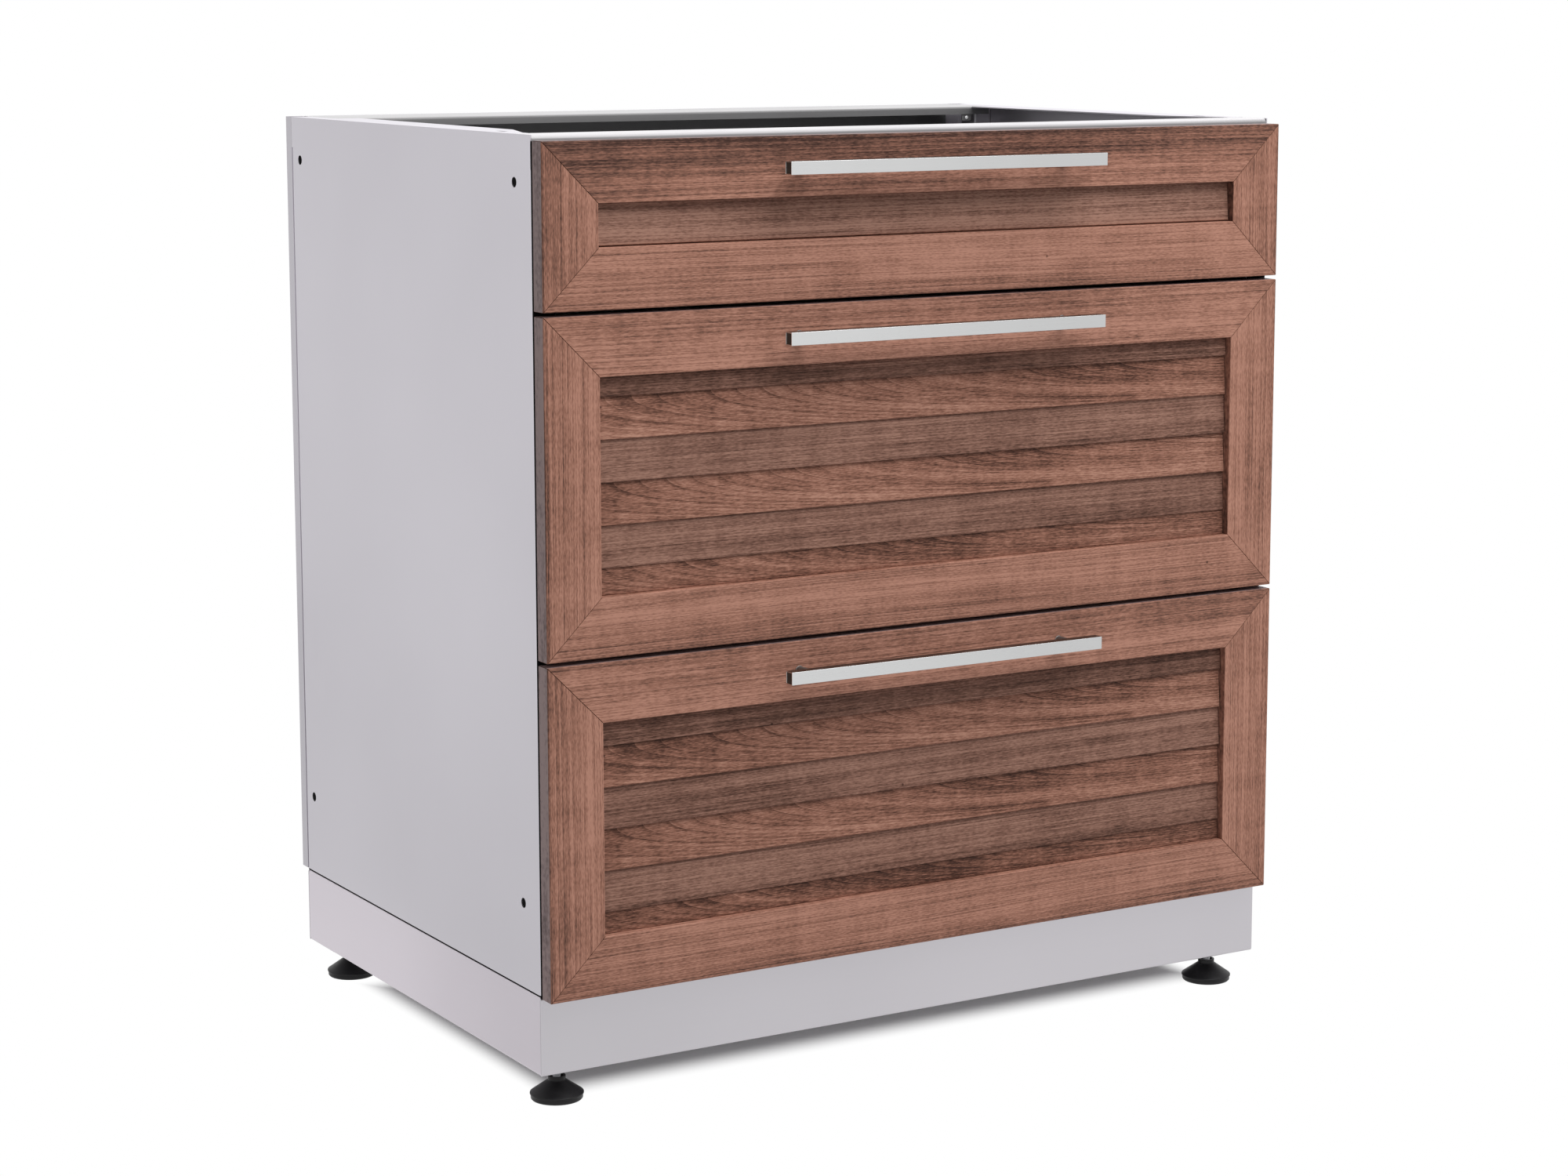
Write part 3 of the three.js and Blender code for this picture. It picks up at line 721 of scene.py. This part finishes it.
# Rings of corners, with faces between each ring and the next
def walls(bm, rings, closed=False):
    loops = [[bm.verts.new(point) for point in ring] for ring in rings]
    following = loops[1:] + loops[:1] if closed else loops[1:]
    for near, far in zip(loops, following):
        for i in range(len(near)):
            j = (i + 1) % len(near)
            bm.faces.new((near[i], near[j], far[j], far[i]))
    return loops


# A closed skin through a row of rings, with its first and last ring filled
def skin(bm, rings):
    loops = walls(bm, rings)
    bm.faces.new(loops[0])
    bm.faces.new(loops[-1])


# An outline of (x, y, corner radius) with its corners turned into arcs
def rounded(corners):
    outline = []
    for i, (x, y, radius) in enumerate(corners):
        corner = Vector((x, y))
        if radius == 0:
            outline.append(corner)
            continue
        back = (Vector(corners[i - 1][:2]) - corner).normalized()
        ahead = (Vector(corners[(i + 1) % len(corners)][:2]) - corner).normalized()
        half_angle = back.angle(ahead) / 2
        setback = radius / math.tan(half_angle)
        centre = corner + (back + ahead).normalized() * radius / math.sin(half_angle)
        start = corner + back * setback - centre
        end = corner + ahead * setback - centre
        turn = math.atan2(start.x * end.y - start.y * end.x, start.dot(end))
        for step in range(corner_steps + 1):
            outline.append(centre + Matrix.Rotation(turn * step / corner_steps, 2) @ start)
    return outline


def circle(radius, sides):
    turns = [2 * math.pi * i / sides for i in range(sides)]
    return [(radius * math.cos(turn), radius * math.sin(turn)) for turn in turns]


# A turned shape: its profile of (radius, height) spun round a way out from its origin
def turned(bm, profile, origin, way, sides):
    facing = way.to_track_quat("Z", "Y")
    rings = []
    for radius, height in profile:
        rings.append([Vector(origin) + facing @ Vector((x, y, height)) for x, y in circle(radius, sides)])
    skin(bm, rings)


def add_piece(name, bm, body, materials, replaced=()):
    bmesh.ops.recalc_face_normals(bm, faces=bm.faces)
    mesh = bpy.data.meshes.new(name)
    bm.to_mesh(mesh)
    bm.free()
    for material in materials:
        mesh.materials.append(material)
    mesh.shade_smooth()
    mesh.set_sharp_from_angle(angle=sharp_angle)
    piece = bpy.data.objects.new(name, mesh)
    scene.collection.objects.link(piece)
    piece.modifiers.new("even_shading", "WEIGHTED_NORMAL").keep_sharp = True
    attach(piece, body)
    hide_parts(*replaced)


# Wood is cut from a log: each piece remembers where it lay in it, along, across and in depth, how
# much lighter it is at each end than its kind, and how far each point is from its outer edge
def add_wood(name, bm, basis, log_place, tones, body, materials, replaced):
    grain = bm.verts.layers.float_vector.new("grain")
    look = bm.verts.layers.float_vector.new("look")
    lowest = min(vert.co.z for vert in bm.verts)
    highest = max(vert.co.z for vert in bm.verts)
    for vert in bm.verts:
        along, depth, across = vert.co
        vert[grain] = Vector((along, -across, depth)) + Vector(log_place)
        tone = tones[0] if along < 0 else tones[1]
        vert[look] = Vector((tone, (highest - across) / (highest - lowest), 0))
    bm.transform(basis)
    add_piece(name, bm, body, materials, replaced)


# A basis whose columns are the directions of a piece's length, depth and outward edge
def basis_of(length_way, edge_way, origin):
    rows = zip(length_way, back_way, edge_way, origin)
    return Matrix([*rows, (0, 0, 0, 1)])


# A member of a frame, mitred at both ends, with a lip in front of a rabbet for the infill
def frame_member(drawer, place, log_place, tones):
    length_way, edge_way = member_ways[place]
    node = f"{drawer}_frame_{place}"
    low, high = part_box(node)
    size = high - low
    length = max(size.x, size.z)
    width = min(size.x, size.z)
    thickness = size.y
    centre = (low + high) / 2
    origin = Vector((centre.x, low.y, centre.z)) + edge_way * width / 2
    outline = rounded((
        (0, 0, wood_round),
        (thickness, 0, 0),
        (thickness, rabbet_width - width, 0),
        (member_lip, rabbet_width - width, 0),
        (member_lip, -width, 0),
        (0, -width, wood_inner_round),
    ))
    rings = []
    for side in (-1, 1):
        rings.append([(side * (length / 2 - mitre_gap + edge), depth, edge) for depth, edge in outline])
    bm = bmesh.new()
    skin(bm, rings)
    face_walnut = shaded_walnut if node == "top_frame_upper" else frame_walnut
    materials = [face_walnut, sheen_edge_walnut, recess_shade_walnut]
    for face in bm.faces:
        outer = all(abs(vert.co.z) < weld_distance for vert in face.verts)
        inner = all(abs(vert.co.z + width) < weld_distance for vert in face.verts)
        if outer:
            face.material_index = materials.index(sheen_edge_walnut)
        elif inner and length_way.z != 0:
            face.material_index = materials.index(recess_shade_walnut)
    basis = basis_of(length_way, edge_way, origin)
    body = f"{drawer}_drawer"
    add_wood(node + "_wood", bm, basis, log_place, tones, body, materials, (node,))


def drawer_frame(drawer, log_offset):
    for place in member_ways:
        across, depth = member_log_places[place]
        log_place = (log_offset, log_offset + across, depth)
        frame_member(drawer, place, log_place, member_tone_shares[drawer][place])


# The lowest and the highest corner of the opening of a drawer's frame, at its front
def opening_of(drawer):
    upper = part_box(f"{drawer}_frame_upper")[0]
    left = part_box(f"{drawer}_frame_left")[1].x
    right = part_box(f"{drawer}_frame_right")[0].x
    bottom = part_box(f"{drawer}_frame_lower")[1].z
    return Vector((left, upper.y, bottom)), Vector((right, upper.y, upper.z))


# One slat from its top, held back under the one above, to its proud lower edge
def slat(name, drawer, top, bottom, lean_share, tucked, log_place, tones, material):
    low, high = opening_of(drawer)
    node = f"{drawer}_infill"
    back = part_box(node)[1].y - low.y - slat_back_gap
    half_length = (high.x - low.x) / 2 - infill_end_gap
    lean = (slat_back_depth - slat_proud_depth) * lean_share
    top_depth = slat_proud_depth + lean
    lap = slat_lap if tucked else 0
    slope = lean / (top - bottom)
    outline = rounded((
        (top_depth + slope * lap, lap, 0),
        (slat_proud_depth, bottom - top, slat_round),
        (back, bottom - top, 0),
        (back, lap, 0),
    ))
    rings = []
    for side in (-1, 1):
        rings.append([(side * half_length, depth, height) for depth, height in outline])
    bm = bmesh.new()
    skin(bm, rings)
    basis = basis_of(right_way, up_way, Vector(((low.x + high.x) / 2, low.y, top)))
    add_wood(name, bm, basis, log_place, tones, f"{drawer}_drawer", [material], (node,))


# The board behind the slats, held in the rabbets of the frame
def back_board(drawer):
    node = f"{drawer}_infill"
    low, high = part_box(node)
    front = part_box(f"{drawer}_frame_upper")[0].y + member_lip + slat_back_gap
    outline = ((front, low.z), (front, high.z), (high.y, high.z), (high.y, low.z))
    bm = bmesh.new()
    skin(bm, [[(x, y, z) for y, z in outline] for x in (low.x, high.x)])
    add_wood(
        f"{drawer}_back_board", bm, Matrix.Identity(4), back_board_log_place, plain_board_tone_shares,
        f"{drawer}_drawer", [slat_walnuts["shaded_slat"]], (node,)
    )


def slats(drawer):
    low, high = opening_of(drawer)
    edges = [high.z]
    edge = high.z - slat_starts[drawer]
    while edge > low.z:
        edges.append(edge)
        edge -= slat_pitch
    edges.append(low.z)
    for index, (upper, lower) in enumerate(zip(edges, edges[1:])):
        finish = slat_finishes[index]
        if finish == "figured_slat":
            pith = figured_pith
        else:
            pith = plain_pith + plain_pith_step * index + plain_pith_starts[drawer]
        log_place = (slat_log_step * index, pith, slat_log_depth)
        lean_share = min((upper - lower) / slat_pitch, 1)
        tones = slat_tone_shares[drawer][index]
        name = f"{drawer}_slat_{index + 1}"
        slat(name, drawer, upper, lower, lean_share, index > 0, log_place, tones, slat_walnuts[finish])
    back_board(drawer)


def plain_board(drawer):
    low, high = opening_of(drawer)
    slat(
        f"{drawer}_board", drawer, high.z - infill_end_gap, low.z + infill_end_gap, lean_share=1,
        tucked=False, log_place=plain_board_log_place, tones=plain_board_tone_shares, material=board_walnut
    )
    back_board(drawer)


# A square-edged bar on two round posts, its ends near-black as a painted reflection
def bar_handle(drawer):
    node = f"{drawer}_handle"
    low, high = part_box(node)
    front = low.y
    back = front + bar_thickness
    middle = (low.z + high.z) / 2
    materials = [bar_steel, painted_dark_bar_ends, shaded_post_steel]

    def section(x, inset):
        corners = (
            (front + inset, low.z + inset, bar_round),
            (back - inset, low.z + inset, bar_round),
            (back - inset, high.z - inset, bar_round),
            (front + inset, high.z - inset, bar_round),
        )
        return [(x, y, z) for y, z in rounded(corners)]

    bm = bmesh.new()
    skin(bm, [
        section(low.x + bar_recess_depth, bar_recess_inset),
        section(low.x, bar_lip_inset),
        section(low.x, bar_end_round),
        section(low.x + bar_end_round, 0),
        section(high.x - bar_end_round, 0),
        section(high.x, bar_end_round),
        section(high.x, bar_lip_inset),
        section(high.x - bar_recess_depth, bar_recess_inset),
    ])
    bm.faces.ensure_lookup_table()
    first_end, last_end = bm.faces[-2:]
    first_end.material_index = materials.index(painted_dark_bar_ends)
    last_end.material_index = materials.index(painted_dark_bar_ends)
    bar_faces = len(bm.faces)
    profile = (
        (bar_post_radius, back - bar_round),
        (bar_post_radius, high.y - bar_post_chamfer),
        (bar_post_radius + bar_post_flare, high.y - bar_post_flare),
        (bar_post_radius, high.y),
    )
    for side in (-1, 1):
        x = side * (high.x - bar_post_inset)
        skin(bm, [[(x + u, y, middle + v) for u, v in circle(radius, post_sides)] for radius, y in profile])
    bm.faces.ensure_lookup_table()
    for face in bm.faces[bar_faces:]:
        face.material_index = materials.index(shaded_post_steel)
    add_piece(f"{drawer}_bar_handle", bm, f"{drawer}_drawer", materials, (node,))


# Foot pad: a turned plastic disc and cone with a hollow collar
def foot_pad(row, column):
    node = f"foot_pad_{row}_{column}"
    low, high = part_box(node)
    centre = (low + high) / 2
    profile = rounded((
        (pad_axis_radius, pad_hollow_depth, 0),
        (pad_hollow_radius, pad_hollow_depth, 0),
        (pad_rim_inner_radius, 0, 0),
        (pad_rim_radius, 0, pad_fine_round),
        (pad_skirt_radius, pad_skirt_bottom, pad_fine_round),
        (pad_skirt_radius, pad_skirt_top, 0),
        (pad_disc_radius, pad_disc_bottom, pad_fine_round),
        (pad_disc_radius, pad_disc_top, pad_round),
        (pad_cone_radius, pad_cone_top, pad_round),
        (pad_collar_radius, pad_collar_bottom, pad_fine_round),
        (pad_collar_radius, high.z, pad_fine_round),
        (pad_socket_radius, high.z, pad_fine_round),
        (pad_socket_radius, high.z - pad_socket_depth, 0),
        (pad_bore_radius, high.z - pad_socket_depth, 0),
        (pad_bore_radius, high.z - pad_bore_depth, 0),
        (pad_axis_radius, high.z - pad_bore_depth, 0),
    ))
    rings = []
    for radius, z in profile:
        rings.append([(centre.x + x, centre.y + y, z) for x, y in circle(radius, foot_sides)])
    bm = bmesh.new()
    skin(bm, rings)
    add_piece(f"foot_{row}_{column}", bm, f"{row}_{column}_foot", [foot_black], (node,))


# Stem: a rod with a real thread, wound as one surface
def threaded_stem(row, column):
    node = f"foot_stem_{row}_{column}"
    low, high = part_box(node)
    centre = (low + high) / 2
    radius = (high.x - low.x) / 2
    rows = round((high.z - low.z) / thread_pitch * thread_rows_per_turn)
    rings = []
    for row_index in range(rows + 1):
        z = low.z + (high.z - low.z) * row_index / rows
        from_end = min(row_index, rows - row_index) / thread_rows_per_turn
        ring = []
        for i in range(stem_sides):
            turn = i / stem_sides
            phase = (z / thread_pitch - turn) % 1
            crest = abs(2 * phase - 1)
            depth = thread_depth * (1 - crest) if from_end >= 1 else thread_depth
            angle = 2 * math.pi * turn
            reach = radius - depth
            ring.append((centre.x + reach * math.cos(angle), centre.y + reach * math.sin(angle), z))
        rings.append(ring)
    bm = bmesh.new()
    skin(bm, rings)
    add_piece(f"stem_{row}_{column}", bm, f"{row}_{column}_foot", [runner_zinc], (node,))


# A screw's pan head with a round socket, seated on a face
def screw_head(bm, origin, way, radius):
    height = radius * screw_height_share
    socket = radius * socket_radius_share
    socket_floor = height * socket_floor_share
    axis_radius = radius * axis_radius_share
    profile = rounded((
        (axis_radius, 0, 0),
        (radius, 0, 0),
        (radius, height, height * screw_round_share),
        (socket, height, 0),
        (socket, socket_floor, 0),
        (axis_radius, socket_floor, 0),
    ))
    turned(bm, profile, origin, way, screw_sides)


def half_width_of(node):
    return max(abs(corner.x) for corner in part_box(node))


# Black strips of painted shade in the gap between the carcass and the drawer fronts
def edge_shadow_strip(column, side):
    node = f"side_panel_{column}"
    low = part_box(node)[0]
    outer = half_width_of(node) - shadow_strip_inset
    inner = outer - shadow_strip_width
    outline = rounded((
        (side * outer, low.y - shadow_strip_thickness, shadow_strip_round),
        (side * outer, low.y + shadow_strip_inset, 0),
        (side * inner, low.y + shadow_strip_inset, 0),
        (side * inner, low.y - shadow_strip_thickness, shadow_strip_round),
    ))
    ends = (low.z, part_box("top_frame_upper")[1].z - shadow_strip_inset)
    bm = bmesh.new()
    skin(bm, [[(x, y, z) for x, y in outline] for z in ends])
    add_piece(f"edge_shadow_strip_{column}", bm, "cabinet", [shadow_black])


# A black strip of painted shade all round between the cabinet and its plinth
def base_shadow_strip():
    side_low, side_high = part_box("side_panel_left")
    plinth_low, plinth_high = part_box("plinth_front")
    front = plinth_low.y + shadow_strip_inset
    rear = side_high.y - shadow_strip_inset
    outer_x = half_width_of("side_panel_left") - shadow_strip_inset
    inner_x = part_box("floor_panel")[1].x + base_shadow_strip_gap
    inner_front = front + outer_x - inner_x
    inner_rear = rear - outer_x + inner_x
    bottom = plinth_high.z + base_shadow_strip_gap
    top = side_low.z - base_shadow_strip_gap
    rings = []
    for x, y0, y1, z in (
        (outer_x, front, rear, bottom),
        (outer_x, front, rear, top),
        (inner_x, inner_front, inner_rear, top),
        (inner_x, inner_front, inner_rear, bottom),
    ):
        rings.append(((-x, y0, z), (x, y0, z), (x, y1, z), (-x, y1, z)))
    bm = bmesh.new()
    walls(bm, rings, closed=True)
    add_piece("base_shadow_strip", bm, "cabinet", [shadow_black])


# A tab with a screw under each end of the rear top rail's lip, where the side's flange begins, darkened as
# painted shade like the lip
def rail_tab(column, side):
    low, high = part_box("rear_top_rail")
    outer = min(abs(corner.x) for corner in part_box(f"side_panel_{column}"))
    inner = outer - tab_width
    lip_edge = high.z - rail_lip_depth
    tab_edge = lip_edge - tab_height
    front = low.y + tab_inset
    materials = [rear_rail_steel, glint_screw_steel]
    outline = rounded((
        (side * outer, lip_edge + tab_overlap, 0),
        (side * outer, tab_edge, tab_round),
        (side * inner, tab_edge, tab_round),
        (side * inner, lip_edge + tab_overlap, 0),
    ))
    bm = bmesh.new()
    skin(bm, [[(x, y, z) for x, z in outline] for y in (front, front + sheet)])
    plate_faces = len(bm.faces)
    centre = (side * (outer + inner) / 2, front, (lip_edge + tab_edge) / 2)
    screw_head(bm, centre, front_way, tab_screw_radius)
    bm.faces.ensure_lookup_table()
    for face in bm.faces[plate_faces:]:
        face.material_index = materials.index(glint_screw_steel)
    add_piece(f"rail_tab_{column}", bm, "cabinet", materials)


# Black discs of painted shade sunk in the four joining holes of a side
def hole_shadow_discs(column, side):
    node = f"side_panel_{column}"
    low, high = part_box(node)
    x = side * (half_width_of(node) - hole_shadow_sunk)
    axis_radius = hole_shadow_radius * axis_radius_share
    profile = rounded((
        (axis_radius, -hole_shadow_depth, 0),
        (hole_shadow_radius, -hole_shadow_depth, 0),
        (hole_shadow_radius, 0, hole_shadow_round),
        (axis_radius, 0, 0),
    ))
    bm = bmesh.new()
    for y in (low.y + join_hole_from_front, high.y - join_hole_from_rear):
        for z in (low.z + join_hole_from_bottom, high.z - join_hole_from_top):
            turned(bm, profile, (x, y, z), side * right_way, screw_sides)
    add_piece(f"hole_shadow_discs_{column}", bm, "cabinet", [shadow_black])


# Screws of a drawer: its handle's, its front's and its runners'
def drawer_screws(drawer):
    box_low, box_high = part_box(f"{drawer}_drawer_box")
    handle_low, handle_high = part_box(f"{drawer}_handle")
    runner_low, runner_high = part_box(f"{drawer}_drawer_runner_right")
    handle_level = (handle_low.z + handle_high.z) / 2
    runner_level = (runner_low.z + runner_high.z) / 2
    handle_x = handle_high.x - bar_post_inset
    wood_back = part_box(f"{drawer}_frame_upper")[1].y
    wall_x = runner_low.x - touch - sheet
    wall_y = box_low.y + sheet
    bm = bmesh.new()
    for side in (-1, 1):
        screw_head(bm, (side * handle_x, wood_back, handle_level), back_way, handle_screw_radius)
        for share in front_screw_shares:
            z = box_low.z + (box_high.z - box_low.z) * share
            screw_head(bm, (side * (wall_x - front_screw_inset), wall_y, z), back_way, screw_radius)
        for share in runner_screw_shares:
            y = runner_low.y + (runner_high.y - runner_low.y) * share
            screw_head(bm, (side * wall_x, y, runner_level), -side * right_way, screw_radius)
    add_piece(f"{drawer}_screws", bm, f"{drawer}_drawer", [runner_zinc])


# The carcass and the plinth
for column, _ in columns:
    keep_solid(f"side_panel_{column}", upright_steel)
    keep_solid(f"rear_post_{column}", upright_steel)
    keep_solid(f"plinth_side_{column}", deep_steel)
keep_solid("back_panel", back_steel)
keep_solid("floor_panel", deep_steel)
keep_solid("front_top_rail", front_rail_steel)
keep_solid("rear_top_rail", rear_rail_steel)
keep_solid("plinth_front", level_steel)
keep_solid("plinth_rear", level_steel)

# The drawers with their runners
for index, drawer in enumerate(drawer_names):
    keep_solid(f"{drawer}_drawer_box", tray_steel)
    for member in ("cabinet", "middle", "drawer"):
        for column, _ in columns:
            keep_solid(f"{drawer}_{member}_runner_{column}", runner_zinc)
    drawer_frame(drawer, drawer_log_step * index)
    bar_handle(drawer)
    drawer_screws(drawer)

# The carcass's black strips and discs of painted shade, and its rail tabs
for column, side in columns:
    edge_shadow_strip(column, side)
    hole_shadow_discs(column, side)
    rail_tab(column, side)
base_shadow_strip()

# The infills of the drawers' frames, and the feet
plain_board("top")
slats("middle")
slats("bottom")
for row in ("front", "rear"):
    for column, _ in columns:
        foot_pad(row, column)
        threaded_stem(row, column)

# The floor, and the shadow that is seen on it: how far beyond the plinth's sides it is measured from,
# how much quicker it ends there, how far inside the plinth it is deepest and where it ends, and how
# much of the floor's white is left in it
floor_half_size = 9.0
floor_tone = 0.8
shadow_tone = 0.92
shadow_side_spread = -0.0025
shadow_side_share = 1.6
shadow_inside = 0.081
shadow_end = 0.027
shadow_least_share = 0.07

# The light: white from all round, and one soft box above the front with its power in watts
sky_strength = 0.26
key_direction = (0.2, -0.56, 0.8)
key_distance = 3.6
key_width = 3.0
key_height = 2.0
key_power = 95

# The camera, at the photograph's height and angle, with its lens in millimetres
camera_place = (-1.73118, -2.93868, 1.00193)
camera_turn = (math.radians(81.487), 0, math.radians(-31.096))
camera_lens = 78.345
camera_sensor = 36.0
camera_shift = (-0.0238, -0.05)


def grey(tone):
    return (tone, tone, tone, 1)


# How far a point of the floor is outside the plinth, and less than zero inside it
def beyond_plinth(tree):
    place = add_node(tree, "ShaderNodeNewGeometry").outputs["Position"]
    axes = axes_of(tree, place)
    half_width = cad_box[1].x + shadow_side_spread
    half_depth = -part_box("plinth_front")[0].y
    beyond_x = calculate(tree, "SUBTRACT", calculate(tree, "ABSOLUTE", axes[0]), half_width)
    beyond_x = calculate(tree, "MULTIPLY", beyond_x, shadow_side_share)
    beyond_y = calculate(tree, "SUBTRACT", calculate(tree, "ABSOLUTE", axes[1]), half_depth)
    outside_x = calculate(tree, "MAXIMUM", beyond_x, 0.0)
    outside_y = calculate(tree, "MAXIMUM", beyond_y, 0.0)
    outside = diagonal(tree, outside_x, outside_y)
    inside = calculate(tree, "MINIMUM", calculate(tree, "MAXIMUM", beyond_x, beyond_y), 0.0)
    return calculate(tree, "ADD", outside, inside)


# 1 for rays that come from the camera, or by a reflection or through glass, and 0 for the rest
def direct_rays(tree):
    rays = add_node(tree, "ShaderNodeLightPath").outputs
    seen = calculate(tree, "MAXIMUM", rays["Is Camera Ray"], rays["Is Glossy Ray"])
    return calculate(tree, "MAXIMUM", seen, rays["Is Transmission Ray"])


# Glowing white to the eye away from the unit; near the plinth the glow fades out over set distances, a
# painted reach for the unit's shadow under it
def floor_finish():
    material, tree, shader = new_material("studio_floor")
    tree.nodes.remove(shader)
    beyond = beyond_plinth(tree)
    glow = remap(tree, beyond, -shadow_inside, -shadow_end, shadow_least_share, 1, "SMOOTHSTEP")
    shadow = add_node(tree, "ShaderNodeBsdfDiffuse", {"Color": grey(shadow_tone)})
    white = add_node(tree, "ShaderNodeEmission", {"Color": grey(1), "Strength": 1.0})
    seen = add_node(tree, "ShaderNodeMixShader", {0: glow, 1: shadow.outputs[0], 2: white.outputs[0]})
    pale = add_node(tree, "ShaderNodeBsdfDiffuse", {"Color": grey(floor_tone)})
    inputs = {0: direct_rays(tree), 1: pale.outputs[0], 2: seen.outputs[0]}
    mixed = add_node(tree, "ShaderNodeMixShader", inputs)
    tree.links.new(mixed.outputs[0], tree.nodes["Material Output"].inputs["Surface"])
    return material


def studio_floor():
    bm = bmesh.new()
    bmesh.ops.create_grid(bm, x_segments=2, y_segments=2, size=floor_half_size)
    mesh = bpy.data.meshes.new("studio_floor")
    bm.to_mesh(mesh)
    bm.free()
    mesh.materials.append(floor_finish())
    floor = bpy.data.objects.new("studio_floor", mesh)
    scene.collection.objects.link(floor)


def soft_sky():
    world = bpy.data.worlds.new("soft_sky")
    scene.world = world
    world.use_nodes = True
    tree = world.node_tree
    background = tree.nodes["Background"]
    background.inputs["Color"].default_value = grey(1)
    level = remap(tree, direct_rays(tree), 0, 1, sky_strength, 1)
    tree.links.new(level, background.inputs["Strength"])


def key_light():
    light = bpy.data.lights.new("key_light", "AREA")
    light.shape = "RECTANGLE"
    light.size = key_width
    light.size_y = key_height
    light.energy = key_power
    lamp = bpy.data.objects.new("key_light", light)
    scene.collection.objects.link(lamp)
    low, high = cad_box
    direction = Vector(key_direction).normalized()
    lamp.location = (low + high) / 2 + direction * key_distance
    lamp.rotation_mode = "QUATERNION"
    lamp.rotation_quaternion = direction.to_track_quat("Z", "Y")


def photo_camera():
    camera_data = bpy.data.cameras.new("camera")
    camera_data.lens = camera_lens
    camera_data.sensor_width = camera_sensor
    camera_data.shift_x, camera_data.shift_y = camera_shift
    camera = bpy.data.objects.new("camera", camera_data)
    scene.collection.objects.link(camera)
    camera.location = camera_place
    camera.rotation_euler = camera_turn
    scene.camera = camera


studio_floor()
soft_sky()
key_light()
photo_camera()
scene.view_settings.view_transform = "Standard"
